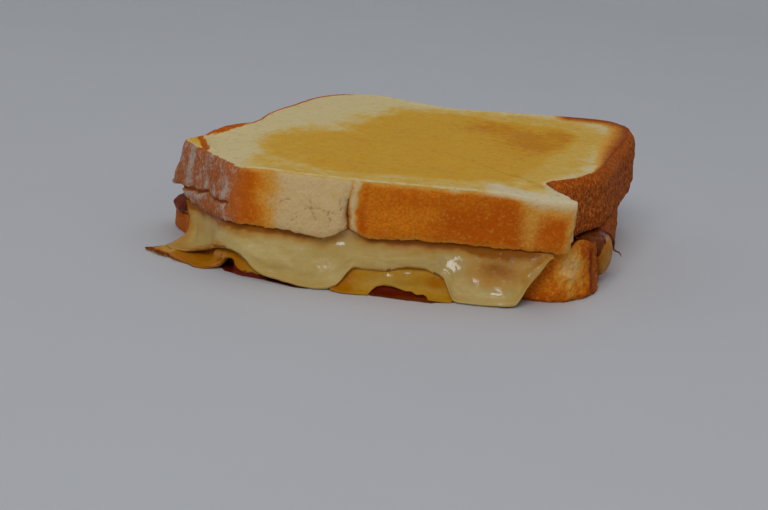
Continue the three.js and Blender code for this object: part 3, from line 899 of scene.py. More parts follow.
@dataclass(frozen=True)
class CheeseFinish:
    """Melted cheese: soft and pale where thick, a little see-through and amber where thin, with wet fat on it; its thin
    and deep colours also paint shade where the masks call for it.
    """

    name: str
    effects: Effects
    body: Colour
    bright: Colour
    thin: Colour
    deep: Colour
    browned: Colour
    burnt: Colour
    roughness: float = 0.44
    scatter: float = 0.3
    depth: float = 1.4
    sheen: float = 0.18

    def build(self) -> Material:
        """Builds the material.

        Returns:
            The material. It reads the masks that MeltedSheet puts on its mesh.
        """
        material, s = new_material(self.name)
        flow = s.stretched((0.55, 1.0, 1.0))
        cloud = s.math("SUBTRACT", s.noise(5.0, 5.0, flow), 0.5)
        fine = s.math("SUBTRACT", s.noise(0.9, 4.0, flow), 0.5)
        both = s.plus(s.times(cloud, 1.5), s.times(fine, 0.6))
        colour = s.blend(s.window(s.plus(s.mask("bright"), both), -0.1, 0.8), self.body, self.bright)
        # Thin and deep colours: thin, see-through cheese, and painted shade under the bread's edge and on hidden inner
        # sides.
        thin = s.plus(s.mask("thin"), s.plus(s.times(cloud, 0.6), s.times(fine, 0.25)))
        colour = s.blend(s.window(thin, 0.08, 0.55), colour, self.thin)
        colour = s.blend(s.window(thin, 0.5, 1.0), colour, self.deep)
        fried = s.plus(s.mask("fried"), s.swing(1.6, 0.8))
        colour = s.blend(s.window(fried, 0.15, 0.6), colour, self.browned)
        colour = s.blend(s.window(fried, 0.65, 1.0), colour, self.burnt)
        drops = self.effects.spots(s, 620.0, 0.34, 0.1)
        colour = s.blend(s.times(drops, 0.3), colour, self.bright)
        gloss = s.group(self.effects.gloss, {"Base": self.roughness, "Spread": 0.1, "Blisters": 0.6})
        wet = s.window(s.plus(s.mask("wet"), s.swing(1.3, 1.0, 4.0)), 0.25, 0.6)
        height = s.plus(s.times(gloss.outputs["Height"], 0.7), s.times(drops, 0.5))
        bump = s.node("ShaderNodeBump", {"Strength": 0.35, "Distance": 0.25 * MM, "Height": height})
        ripple = s.plus(s.noise(0.7, 3.0), s.times(s.noise(1.9, 3.0), 2.0))
        film = s.node("ShaderNodeBump", {"Strength": 0.3, "Distance": 0.16 * MM, "Height": ripple})
        coat = s.math("MAXIMUM", wet, s.times(drops, 0.2))
        principled(s, {
            "Base Color": colour, "Roughness": gloss.outputs["Roughness"], "Normal": bump.outputs[0],
            "Subsurface Weight": self.scatter, "Subsurface Radius": (1.0, 0.65, 0.25),
            "Subsurface Scale": self.depth * MM, "Coat Weight": coat, "Coat Roughness": 0.12, "Coat IOR": 1.8,
            "Coat Normal": film.outputs[0], "Specular IOR Level": self.sheen,
        })
        return material


@dataclass(frozen=True)
class OnionFinish:
    """Cooked red onion: dark, glossy, with paler ribs along the strand."""

    name: str
    effects: Effects
    body: Colour = (0.26, 0.035, 0.010)
    rib: Colour = (0.16, 0.035, 0.012)
    shade: Colour = (0.06, 0.009, 0.008)

    def build(self) -> Material:
        """Builds the material.

        Returns:
            The material. It reads the masks that OnionStrand puts on its mesh.
        """
        material, s = new_material(self.name)
        colour = s.blend(s.window(s.noise(3.0), 0.38, 0.66), self.body, self.shade)
        colour = s.blend(s.times(s.mask("rib"), s.window(s.noise(2.0), 0.3, 0.6)), colour, self.rib)
        gloss = s.group(self.effects.gloss, {"Base": 0.34, "Spread": 0.1, "Blisters": 0.3})
        bump = s.node("ShaderNodeBump", {"Strength": 0.2, "Distance": 0.2 * MM, "Height": gloss.outputs["Height"]})
        principled(s, {
            "Base Color": colour, "Roughness": gloss.outputs["Roughness"], "Normal": bump.outputs[0],
            "Subsurface Weight": 0.15, "Subsurface Radius": (1.0, 0.3, 0.15), "Subsurface Scale": 1.2 * MM,
            "Coat Weight": s.times(gloss.outputs["Wet"], 0.12), "Coat Roughness": 0.08,
            "Specular IOR Level": 0.08,
        })
        return material


@dataclass(frozen=True)
class PaintedShadeFinish:
    """Dark maroon for the painted shade film: the shade under the cheese's hem and in its torn notches."""

    name: str
    effects: Effects
    deep: Colour = (0.15, 0.01, 0.001)
    edge: Colour = (0.22, 0.035, 0.008)

    def build(self) -> Material:
        """Builds the material; the film thins out to clear at its rim.

        Returns:
            The material. It reads the mask that PaintedShadeFilm puts on its mesh.
        """
        material, s = new_material(self.name)
        uneven = s.plus(s.mask("rim"), s.swing(3.0, 0.5))
        colour = s.blend(s.window(uneven, 0.2, 0.75), self.edge, self.deep)
        gloss = s.group(self.effects.gloss, {"Base": 0.3, "Spread": 0.06, "Blisters": 0.1})
        principled(s, {
            "Base Color": colour, "Roughness": gloss.outputs["Roughness"],
            "Alpha": s.window(uneven, 0.1, 0.5, (0.0, 0.92)), "Specular IOR Level": 0.12,
        })
        return material


# ---- Bread ----


@dataclass
class LoafSlice:
    """One slice: a lower face, a crusty wall and an upper face, as rings from the lower pole to the upper."""

    name: str
    node: str
    slot: Slot
    landmarks: Array
    columns: int = 820
    wall_rows: int = 48
    face_rows: int = 54
    under_rows: int = 14
    rounding: float = 0.6

    def underside(self, x: Array, y: Array) -> Array:
        """Height of the lower face."""
        raise NotImplementedError

    def upper_face(self, x: Array, y: Array, reach: Array) -> Array:
        """Height of the upper face; reach is 1 at its edge."""
        raise NotImplementedError

    def relief(self, wall: Array, level: Array, station: Array) -> tuple[Array, Masks]:
        """How far the wall stands out or in at each point, and the masks it carries."""
        raise NotImplementedError

    def face_masks(self, places: Array, depth: Array, upper: bool) -> Masks:
        """Masks on a face, from the place and the depth inside the edge, both in millimetres."""
        raise NotImplementedError

    def face_relief(self, places: Array, depth: Array) -> Array:
        """How far the upper face rises or sinks at each place."""
        return np.zeros(places.shape[:-1])

    def build(self) -> Object:
        """Makes the slice as one stack of rings: under face, wall and upper face.

        Returns:
            The slice, with its masks.
        """
        wall, wall_masks = self._wall(Outline.of(self.landmarks, self.columns))
        under, under_masks = self._face(wall[0], self.under_rows, False)
        face, face_masks = self._face(wall[-1], self.face_rows, True)
        parts = [under[::-1], wall, face]
        stacks = [{key: value[::-1] for key, value in under_masks.items()}, wall_masks, face_masks]
        masks = {
            key: np.concatenate([np.broadcast_to(stack.get(key, 0.0), part.shape[:2])
                                 for part, stack in zip(parts, stacks)])
            for key in sorted(set().union(*stacks))
        }
        return settled(ring_mesh(self.name, np.concatenate(parts), masks), self.node)

    def _wall(self, line: Outline) -> tuple[Array, Masks]:
        """Makes the crusty wall.

        It runs straight from the lower edge to the upper, is rounded at both by drawing in, and moves along
        its outward direction by its relief.

        Args:
            line: The slice's edge.

        Returns:
            Its rings from the lowest, and their masks.
        """
        level = 0.5 - 0.5 * np.cos(np.linspace(0, math.pi, self.wall_rows))
        level = mix(level, np.linspace(0, 1, self.wall_rows), 0.55)[:, None]
        low = self.underside(line.lower[:, 0], line.lower[:, 1])
        high = self.upper_face(line.upper[:, 0], line.upper[:, 1], np.ones(self.columns))
        wall = np.empty((self.wall_rows, self.columns, 3))
        wall[..., :2] = mix(line.lower, line.upper, level[..., None])
        wall[..., 2] = mix(low, high, level)
        station = np.broadcast_to(line.station, wall.shape[:2])
        out, masks = self.relief(wall, np.broadcast_to(level, station.shape), station)
        out = out - self.rounding * np.abs(2 * level - 1) ** 9
        wall[..., :2] += out[..., None] * line.outward
        rim = np.ones(station.shape) * ramp(1.0, 0.965, level)
        return wall, {**masks, "crust": np.maximum(rim, masks["base"] > 0.02)}

    def _face(self, edge: Array, rows: int, upper: bool) -> tuple[Array, Masks]:
        """Makes a face: the wall's edge drawn in to the middle of the sandwich, at the face's height.

        Args:
            edge: The wall's last ring.
            rows: How many rings.
            upper: Whether it is the upper face.

        Returns:
            Its rings from the edge inwards, and their masks.
        """
        height = self.upper_face if upper else self._under_face
        reach = 1 - np.linspace(0, 1, rows + 2)[1:-1] ** 1.5
        flat = edge[None, :, :2] * reach[:, None, None]
        depth = depth_inside(flat.reshape(-1, 2), edge[::2, :2]).reshape(flat.shape[:2])
        shift = edge[:, 2] - height(edge[:, 0], edge[:, 1], np.ones(self.columns))
        z = height(flat[..., 0], flat[..., 1], np.broadcast_to(reach[:, None], depth.shape))
        places = np.concatenate([flat, (z + shift * ramp(3.0, 0.0, depth))[..., None]], axis=-1)
        if upper:
            places[..., 2] += self.face_relief(places, depth)
        return places, self.face_masks(places, depth, upper)

    def _under_face(self, x: Array, y: Array, reach: Array) -> Array:
        """Height of the lower face, which is the same at its edge."""
        return self.underside(x, y)


@dataclass
class TopSlice(LoafSlice):
    """The upper slice, with the fried face, the split seam, the floury dome and the torn ear."""

    toast_zone: Array = table(  # x, y
        [-41.5, -22.0], [-40.9, -12.5], [-38.3, -4.7], [-27, 5.5], [-19, 9.0], [-13.2, 28.5], [-4.3, 40], [7.5, 41.5],
        [16.6, 41], [25.7, 38], [37.8, 38.6], [46.6, 35.5], [49.8, 24.6], [46.8, 12.9], [42, 1.2],
        [37.5, -15.3], [32.4, -27], [27.5, -38.8], [14.5, -43.6], [7.3, -44.0], [-2.8, -44.6], [-10.3, -45.0],
        [-17.9, -44.8], [-25.7, -42.6], [-33.5, -37], [-39.2, -29])
    patch_zone: Array = table(  # x, y
        [46.5, -13], [52, -9], [61, 17], [62.4, 30], [58.5, 34], [55.5, 20], [51, 5])
    crack: Array = table(  # x, height
        [-61.5, 13.2], [-60.2, 13.5], [-58.7, 13.9], [-57.5, 14.9], [-56.8, 14.7], [-55.9, 14.6], [-54.7, 15.1],
        [-52.4, 16.4], [-51.2, 16.4], [-50.3, 16.0], [-49.1, 16.1], [-47.5, 16.5], [-45.6, 17.2])
    fold: Array = table([-57.8, -8.0], [-56.4, -12.0], [-55.0, -17.5], [-53.6, -23.0])  # x, y
    hair: tuple = (  # x, height
        ((-27.5, 18.0), (-25.2, 19.4), (-23.7, 20.0), (-21.0, 19.4), (-17.8, 19.0)),
        ((-23.7, 20.0), (-22.9, 18.2), (-22.6, 16.7)), ((-28.3, 16.0), (-27.4, 17.0), (-27.5, 18.0)),
        ((-23.7, 20.0), (-24.2, 21.4), (-23.9, 22.6)), ((-19.5, 19.2), (-18.6, 17.0), (-18.9, 15.6)),
        ((-31.5, 20.6), (-29.4, 21.2)), ((-17.2, 22.6), (-16.4, 20.8), (-16.6, 19.4)))
    seam: Array = table([-14.0, 12.0], [-14.6, 17.0], [-14.9, 20.5], [-13.6, 29.0])  # x, height

    def underside(self, x: Array, y: Array) -> Array:
        """Height of the lower face, with the arch under the seam and the ragged cut along the front.

        Args:
            x: Places along the loaf.
            y: Places across it.

        Returns:
            Heights.
        """
        front = ramp(-40, -46, y)
        arch = 1.9 * bell(x, SEAM_X, 2.9) * front
        hang = -0.7 * bell(x, -21.5, 4.5) * front - 0.4 * bell(x, -7, 3.5) * front
        here = np.stack([x, y, np.zeros_like(x)], axis=-1)
        ragged = 0.3 * fractal(here, 3.4, 3, 5) + 0.2 * fractal(here, 0.9, 2, 9)
        parted = 1.9 * bell(y, -9.6, 4.6) * ramp(-55, -58, x) - 0.6 * bell(y, -25, 6.0) * ramp(-44, -50, x)
        return top_underside(x, y) + arch + hang + parted + ragged * ramp(0.3, 0.6, front + 0.4)

    def upper_face(self, x: Array, y: Array, reach: Array) -> Array:
        """Height of the upper face."""
        return top_face(x, y, reach)

    def face_relief(self, places: Array, depth: Array) -> Array:
        """Low dents all over, a raised rim of crust and a ridge of it behind the domed end.

        Args:
            places: Places on the face.
            depth: How far inside its edge they lie.

        Returns:
            How far the face rises at each place.
        """
        x, y = places[..., 0], places[..., 1]
        crease = self._off_fold(places)
        dents = 0.16 * fractal(places, 7.0, 3, 11) + 0.07 * fractal(places, 2.4, 2, 14)
        ridge = mound(x, y, -53, -4, 5.5, 5.5) * bell(depth, 0.6, 1.0)
        rim = 0.18 * bell(depth, 0.2, 0.8)
        folded = 0.7 * ramp(2.6, 1.2, crease) - 1.5 * ramp(1.1, 0.2, crease)
        return (dents + folded) * ramp(0, 2, depth) + rim + 0.8 * ridge * (1 + 0.6 * fractal(places, 1.8, 2, 21))

    def _off_fold(self, places: Array) -> Array:
        """Distance, seen from above, from the crease behind the domed end's corner."""
        near = (places[..., 0] < -46) & (places[..., 1] < 0)
        return off_lines(places, near, (0, 1), (self.fold,), (1.6, 0.4, 141))

    def _off_crack(self, wall: Array) -> Array:
        """Distance, seen from the front, from the crack across the floury end."""
        near = (wall[..., 0] < -42) & (wall[..., 1] < -6)
        return off_lines(wall, near, (0, 2), (self.crack,), (1.3, 0.35, 91))

    def _off_hairs(self, wall: Array) -> Array:
        """Distance, seen from the front, from the hair cracks that run from a star in the pale shred."""
        near = (wall[..., 0] > -35) & (wall[..., 0] < -15) & (wall[..., 1] < -30)
        return off_lines(wall, near, (0, 2), self.hair, (1.2, 0.5, 45))

    def relief(self, wall: Array, level: Array, station: Array) -> tuple[Array, Masks]:
        """The wall: broad lumps, grain, the seam with its lips, cracks, streaks down the base and a torn ear.

        Args:
            wall: Places on it.
            level: 0 at the lower edge and 1 at the upper.
            station: The landmark number at each place.

        Returns:
            How far it stands out, and its masks.
        """
        x, z = wall[..., 0], wall[..., 2]
        front = ramp(3.6, 4.6, station) * ramp(11.6, 11.2, station)
        torn = ramp(10.9, 11.2, station) * ramp(13.2, 12.8, station)
        base = ramp(12.75, 13.1, station) * ramp(20.2, 19.6, station)
        dome = np.maximum(ramp(4.9, 3.7, station), ramp(28.0, 29.5, station))
        back = ramp(19.4, 20.4, station) * ramp(29.5, 28.0, station)
        out = 0.26 * fractal(wall, 9.0, 2, 1) + 0.13 * fractal(wall, 2.2, 3, 4)
        seam_x = np.interp(z, self.seam[:, 1], self.seam[:, 0])
        side = x - seam_x + 0.4 * fractal(wall, 1.4, 3, 31)
        parting = 0.25 + 0.75 * ramp(24.0, 21.5, z + 0.8 * fractal(wall, 1.6, 2, 33))
        split = front * np.exp(-np.abs(side) / 0.42) * parting
        out -= 2.2 * split * (0.5 + 0.5 * ramp(0.9, 0.1, level))
        out += front * (0.5 * bell(side, 1.4, 0.9) + 0.55 * bell(side, -2.2, 1.9))
        out += 0.07 * fractal(wall, 0.8, 2, 7)
        shred = front * ramp(-36, -31, x + 0.12 * (z - 20)) * ramp(0.2, -0.3, side)
        out += 0.45 * shred * bell(level, 0.45, 0.45)
        off_crack = self._off_crack(wall)
        crack = ramp(0.65, 0.25, off_crack)
        fine = ramp(0.2, 0.04, self._off_hairs(wall)) * front
        under = z - np.interp(x, self.crack[:, 0], self.crack[:, 1])
        ledge = dome * ramp(-0.1, -0.6, under) * ramp(-4.0, -1.2, under) * ramp(-50, -54, x)
        out -= 0.65 * crack + 0.3 * fine - 0.35 * ledge
        out += dome * (0.4 * fractal(wall, 3.2, 2, 53) + 0.3 * fractal(wall * [1.0, 1.0, 0.6], 1.3, 2, 55))
        rough = fractal(wall * [1.0, 1.0, 0.36], 1.4, 3, 61)
        out += base * (0.34 * rough + 0.25 * fractal(wall, 5.0, 2, 63) - 1.1 * ramp(0.72, 1.0, level) ** 2)
        out += torn * (0.65 * fractal(wall, 1.7, 3, 71) - 0.3)

        tan = front * ramp(-41, -28, x + 1.5 * fractal(wall, 4.0, 3, 77)) * ramp(0.2, -0.3, side)
        lip = front * (0.95 * bell(side, 1.25, 1.0) + 0.3 * bell(side, 0.2, 0.7) * ramp(20.5, 23.0, z))
        streak = 0.5 * bell(x, 30.6, 3.0) * (0.6 + 0.5 * level)
        ear = ramp(38.6, 40.8, x + 0.5 * fractal(wall, 2.0, 2, 73))
        blob = bell(x + 0.8 * fractal(wall, 2.5, 2, 74), 36.4, 3.9) * bell(level, 0.34, 0.56)
        tip = 0.62 * ramp(31.0, 34.5, x) * (1 - 1.2 * blob)
        cap = ramp(0.86, 0.99, level) * (0.5 + 0.5 * bell(x, 11.2, 1.6))
        cap = cap + ramp(0.55, 0.95, level) * 0.8 * ramp(25, 31, x)
        foot = 0.3 * ramp(0.14, 0.0, level)
        bare = front * np.maximum.reduce([streak, cap, foot, 0.6 * ear, tip])
        pale = np.maximum.reduce([tan, lip, bare, 0.66 * torn])
        pale = np.maximum(pale, 0.8 * bell(station, 31.7, 0.22) * ramp(0.8, 0.95, level))

        baked = ramp(-4, 18, x + 3 * fractal(wall, 7.0, 2, 79)) * (0.25 + 0.5 * bell(level, 0.42, 0.36))
        brown = front * (0.2 + baked + 0.3 * ramp(-32, -42, x) + 0.55 * bell(side, 3.6, 1.0))
        brown = brown + 0.5 * back + 0.9 * dome + 0.4 * fractal(wall, 6.0, 2, 75) * front
        flour = dome * (0.62 + 0.3 * fractal(wall * [1.0, 1.0, 0.6], 2.6, 3, 81)) * ramp(-38, -46, x)
        patches = (bell(station, 2.15, 0.13) + bell(station, 3.5, 0.14)) * bell(level, 0.42, 0.15)
        flour += dome * (0.4 * bell(station, 0.9, 0.16) + 0.7 * patches)
        flour = np.maximum(flour, 0.95 * ledge) * ramp(0.28, 0.42, off_crack)
        return out, {
            "base": held(base * (1 - 0.35 * ramp(0.7, 1.0, level)) + 0.6 * dome * ramp(-44, -50, x)),
            "pale": held(pale) - 0.3 * base, "brown": held(brown + base * 0.9, 1.4), "flour": held(flour + 0.1 * back),
            "crack": held(np.maximum.reduce([crack, 0.55 * fine, held(2.0 * split - 0.5)])),
            "white": held(0.85 * front * ramp(16, 22, x) * ramp(0.9, 1.0, level)), "sear": base, "toast": 0.2 * front,
        }

    def face_masks(self, places: Array, depth: Array, upper: bool) -> Masks:
        """The fried zone and its second patch on the upper face, its browned and its white margins.

        Args:
            places: Places on the face.
            depth: How far inside its edge they lie.
            upper: Whether it is the upper face.

        Returns:
            The masks.
        """
        x, y = places[..., 0], places[..., 1]
        if not upper:
            return {"toast": ramp(1, 5, depth) * 0.7}
        flat = places[..., :2].reshape(-1, 2)
        wobble = 1.6 * fractal(places, 6.0, 3, 85)
        inside = depth_inside(flat, self.toast_zone).reshape(depth.shape) + wobble
        patch = depth_inside(flat, self.patch_zone).reshape(depth.shape) + wobble
        toast = 0.62 * ramp(-2.5, 5.0, inside) + 0.06 * ramp(0, 10, inside)
        spots = mound(x, y, 24, 28, 8, 9) + mound(x, y, 44, 22, 9, 11) + 0.9 * mound(x, y, 34, 8, 12, 14)
        toast += 0.34 * np.minimum(spots, 1) * ramp(-1, 5, inside) - 0.08 * ramp(-16, -30, x)
        toast = np.maximum(toast, 0.5 * ramp(-2.5, 3.5, patch))
        toast = np.maximum(toast, 0.4 * ramp(8, 20, x) * ramp(12, 4, -inside))
        toast = np.maximum(toast, 0.36 * ramp(-24, -34, y) * ramp(-44, -38, x) * ramp(17, 12, x))
        toast = np.maximum(toast, 0.3 * ramp(-44, -36, x) * ramp(7, 0, -inside))
        knob = ramp(-54.4, -56.4, x + 0.18 * (y + 14) + 0.6 * fractal(places, 2.0, 2, 25)) * ramp(0, -6, y)
        toast = np.maximum(toast, 0.5 * knob)
        toast = toast * ramp(-0.6, 1.6, depth + 2.0 * ramp(20, 40, x) * ramp(-30, 0, y))
        behind = ramp(-2, 4, y + 0.2 * x + 16) * ramp(-14, -24, x)
        rim = ramp(1.3, 0.3, depth) * np.maximum(behind, 0.3 * ramp(30, 45, y))
        ragged = depth + 0.6 * fractal(places, 1.6, 2, 23)
        ridge = ramp(-43, -48, x) * ramp(-10, -6, y) * ramp(8, 3, y) * ramp(2.4, 1.0, ragged)
        crust = held(np.maximum.reduce([rim, ridge, 0.9 * ramp(1.3, 0.5, self._off_fold(places))]))
        width = 1.0 + 7.0 * ramp(-26, 24, y)
        sear = ramp(40, 47, x) * ramp(-36, -26, y) * held(1.25 * (1 - depth / width), 1.2)
        tongue = ramp(16, 22, x) * ramp(-41.5, -44.5, y + 0.25 * (x - 30)) * ramp(0.0, 0.8, depth)
        white = held(0.85 * tongue + 0.75 * ramp(16, 24, x) * ramp(2.0, 0.4, depth) * ramp(-30, -44, y), 0.9)
        return {"toast": toast, "crust": crust, "base": 0.4 * crust, "pale": 0.1 * crust, "brown": 0.9 * crust,
                "sear": sear, "white": white * ramp(41, 39, x * ramp(-34, -38, y))}


@dataclass
class BottomSlice(LoafSlice):
    """The lower slice: browned, turned maroon low at the front, along its foot and beside the drip (painted shade with
    juice stain), and cut across at its front right corner.
    """

    def underside(self, x: Array, y: Array) -> Array:
        """The lower face is flat on the surface."""
        return np.zeros_like(x)

    def upper_face(self, x: Array, y: Array, reach: Array) -> Array:
        """Height of the upper face, whose rim stands up at the cut corner.

        Args:
            x: Places along the loaf.
            y: Places across it.
            reach: 1 at the face's edge and 0 in its middle.

        Returns:
            Heights.
        """
        rim = 1.5 * mound(x, y, 43.5, -42.5, 6.0, 5.5) + 1.1 * mound(x, y, 47.5, -35.0, 2.6, 5.0)
        rim = rim + 1.2 * ramp(41.4, 43.4, x) * bell(y, -40.5, 5.0) + 0.9 * mound(x, y, 40.2, -45, 2.2, 3.0)
        return bottom_face(x, y) + rim * ramp(0.86, 1.0, reach)

    def relief(self, wall: Array, level: Array, station: Array) -> tuple[Array, Masks]:
        """The wall: lumps and grain, crumbly at the cut corner and ridged down the loaf's base.

        Args:
            wall: Places on it.
            level: 0 at the lower edge and 1 at the upper.
            station: The landmark number at each place.

        Returns:
            How far it stands out, and its masks.
        """
        x, y, z = np.moveaxis(wall, -1, 0)
        corner = ramp(10.6, 11.2, station) * ramp(13.4, 12.7, station)
        base = ramp(12.6, 13.3, station) * ramp(20.2, 19.6, station)
        dome = np.maximum(ramp(5.5, 4.0, station), ramp(27.5, 29.0, station))
        out = 0.25 * fractal(wall, 8.0, 2, 101) + 0.12 * fractal(wall, 2.0, 3, 104) - 0.1
        out += corner * (0.4 * fractal(wall, 1.6, 3, 111) + 0.3 * fractal(wall, 0.7, 2, 115))
        out += base * (0.4 * fractal(wall * [1.0, 1.0, 0.35], 1.5, 3, 121) + 0.2 * fractal(wall, 5.0, 2, 123))
        soft = 0.95 * mound(x, z, 41.2, 9.4, 3.6, 4.2) + 0.4 * mound(x, z, 44.5, 6.5, 2.2, 5.0)
        flecks = 0.3 * fractal(wall * [1.0, 1.0, 0.7], 2.2, 3, 133)
        pale = corner * (0.85 * soft - 0.6 * mound(x, z, 46.6, 12.8, 1.8, 2.2) + flecks)
        spot = mound(x, z, 46.4, 12.8, 1.7, 1.9)
        brown = 0.35 + 0.5 * ramp(0.3, 0.05, level) + 0.4 * fractal(wall, 4.0, 2, 131) + 0.7 * dome
        burnt = 0.6 * ramp(39, 33, x) + 1.3 * spot + 0.5 * ramp(9, 12.5, z) * ramp(43, 45, x)
        brown = brown + corner * (burnt - 0.3 * bell(x, 44.5, 3.0))
        # Painted shade with juice stain: maroon low on the front wall behind the hanging cheese, along the wall's foot
        # and in the seam beside the drip, where shade falls.
        damp = ramp(12.0, 8.0, x) * ramp(-56, -50, x) * ramp(-38, -42, y) * ramp(7.5, 4.0, z)
        damp = np.maximum(damp, 0.4 * ramp(0.12, 0.02, level) * ramp(10, 30, x))
        damp = np.maximum(damp, 0.85 * bell(station, 13.15, 0.2) * ramp(0.5, 2.5, z) * ramp(13.5, 11.5, z))
        return out, {
            "base": held(base * 0.85 + 0.45 * dome), "pale": held(pale) - 0.3 * base, "brown": held(brown, 1.4),
            "damp": held(0.92 * damp), "flour": 0.1 * dome, "toast": 0.6, "sear": 0.75 * corner,
        }

    def face_masks(self, places: Array, depth: Array, upper: bool) -> Masks:
        """Toasted under, soft and fat-soaked above, with painted shade on the ledge at the cut corner.

        Args:
            places: Places on the face.
            depth: How far inside its edge they lie.
            upper: Whether it is the upper face.

        Returns:
            The masks.
        """
        if upper:
            # The ledge under the top slice's ear is seared and turned maroon: painted shade from the ear, with juice
            # stain.
            ledge = ramp(38, 42, places[..., 0]) * ramp(-14, -20, places[..., 1])
            rim = ramp(38, 44, places[..., 0]) * ramp(-24, -18, places[..., 1]) * ramp(2.5, 1.0, depth)
            return {"toast": 0.55 + 0.2 * ramp(0, 6, depth), "sear": 1.1 * ledge, "crust": rim, "base": 0.6 * rim,
                    "brown": rim, "damp": 0.75 * ledge * ramp(0.4, 1.6, depth)}
        return {"toast": ramp(-1.5, 4.0, depth), "crust": 0.5 * ramp(3.0, 0.2, depth)}


# ---- Cheese ----


@dataclass
class MeltedSheet:
    """A melted sheet over the bottom slice: from the middle out to a lip, down to a hem, round it and back.

    The hanging wall runs in a curve that drops first and then runs out: its place is (1-t)^3 of the top,
    3t(1-t) of the bend and t^3 of the hem. Where it is torn, it stops at the height of the notch. The hem is a
    half circle, and the inner side follows the outer.

    Attributes:
        over: Share of the height between the slices at which its upper face lies.
        under: The same for its lower face.
        out: How far the lip stands out of the lower slice's side, in millimetres.
        thick: How thick it is, in millimetres.
        slump: How far its bend follows the hem's flare.
        tuck: How far the lip stays back under the bread's edge, in millimetres.
        ease: Over how many columns the hem is smoothed.
    """

    name: str
    node: str
    slot: Slot
    over: float
    under: float
    out: float
    thick: float
    slump: float
    tuck: float = 0.0
    ease: int = 3
    columns: int = 1000

    def hang(self, x: Array, y: Array) -> tuple[Array, Array, Array]:
        """Height of the hem (nan where nothing hangs), flare and inset at each point of the edge."""
        raise NotImplementedError

    def crown(self, x: Array, y: Array) -> Array:
        """How far the sheet rises above its own level at each place."""
        return np.zeros_like(x)

    def notch(self, x: Array) -> Array:
        """Height up to which the hanging wall is torn away at each x; 0 where it is whole."""
        return np.zeros_like(x)

    def swell(self, places: Array, t: Array, front: Array) -> Array:
        """How far the hanging wall bulges at each place; t is 0 at the lip and 1 at the hem."""
        raise NotImplementedError

    def masks(self, places: Array, t: Array, front: Array) -> Masks:
        """The masks the sheet carries."""
        raise NotImplementedError

    @staticmethod
    def smooth(values: Array, reach: int) -> Array:
        """Averages values with their neighbours along a row, by weights that fall off like a bell.

        Args:
            values: The row.
            reach: How many neighbours one width of the bell spans.

        Returns:
            The averages.
        """
        weights = bell(np.arange(-2 * reach, 2 * reach + 1), 0, reach)
        padded = np.pad(values, 2 * reach, mode="edge")
        return np.convolve(padded, weights / weights.sum(), mode="valid")

    @staticmethod
    def along_hem(knots: Array, x: Array) -> tuple[Array, Array, Array]:
        """Reads a hem's table, smoothly between its rows.

        Args:
            knots: Rows of x, height and flare.
            x: Where to read it.

        Returns:
            Height, flare, and whether x is inside the table.
        """
        row = np.clip(np.searchsorted(knots[:, 0], x), 1, len(knots) - 1)
        t = ramp(0, 1, (x - knots[row - 1, 0]) / (knots[row, 0] - knots[row - 1, 0]))
        height, flare = (mix(knots[row - 1, k], knots[row, k], t) for k in (1, 2))
        return height, flare, (x > knots[0, 0]) & (x < knots[-1, 0])

    def build(self) -> Object:
        """Makes the sheet.

        Returns:
            The sheet, with its masks.
        """
        line = Outline.of(BOTTOM_EDGE, self.columns)
        foot = line.lower
        hem, flare, inset = self.hang(foot[:, 0], foot[:, 1])
        hanging = ~np.isnan(hem)
        hem[hanging] = self.smooth(hem[hanging], self.ease)
        flare = self.smooth(flare, self.ease)

        def at(offset: Array) -> Array:
            """Places on the plane at an offset from the lower slice's edge."""
            return foot + line.outward * np.reshape(offset - inset, (-1, 1))

        lip = at(np.full(self.columns, self.out))
        high = between(lip[:, 0], lip[:, 1], self.over) + self.crown(lip[:, 0], lip[:, 1])
        low = between(lip[:, 0], lip[:, 1], self.under)
        base = np.minimum(np.where(hanging, hem, low), low)
        drop = high - base
        turn = np.minimum(0.45, 0.35 * drop)
        thinning = 1 - 0.5 * ramp(4, 10, flare)
        hem_height = np.minimum(0.5 * self.thick, 0.3 * drop) * thinning
        bend_height = np.minimum(self.thick, 0.5 * drop) * thinning
        bend = self.slump * flare * mix(0.15, 1.0, ramp(-52, -40, foot[:, 0]))
        tuck = self.tuck * ramp(1, 4, drop) * mix(0.15, 1.0, ramp(-48, -40, foot[:, 0]))

        def placed(offset: Array, z: Array) -> Array:
            """A ring of the wall, kept between the table or the piece below and the sheet's upper face.

            Args:
                offset: How far it stands out.
                z: Its height.

            Returns:
                Its places.
            """
            p = at(offset)
            floor = np.where(offset - inset < TOUCH_GAP, between(p[:, 0], p[:, 1], self.under), 0.0)
            top = between(p[:, 0], p[:, 1], self.over) + self.crown(p[:, 0], p[:, 1])
            return np.column_stack([p, np.minimum(np.maximum(z, floor), top)])

        def wall(t: Array) -> tuple[Array, Array]:
            """The hanging wall's outer side.

            Args:
                t: 0 at the lip and 1 at the hem.

            Returns:
                How far it stands out, and its height.
            """
            a, b, c = (1 - t) ** 3, 3 * t * (1 - t), t**3
            belly = 0.5 * np.sin(math.pi * t) * ramp(1, 6, drop) * ramp(6, 3, flare)
            z = a * (high - turn) + b * (base + bend_height + belly) + c * (base + hem_height)
            return self.out + b * bend + c * flare + belly * 0.4 - tuck * ramp(0.42, 0.0, t), z

        grid = np.linspace(0, 1, 240)[:, None]
        torn = self.notch(foot[:, 0]) * hanging
        below = wall(grid)[1] < torn
        end = self.smooth(np.where(below.any(0), grid[np.argmax(below, axis=0), 0], 1.0), 1)
        reach_out, rim = wall(end)

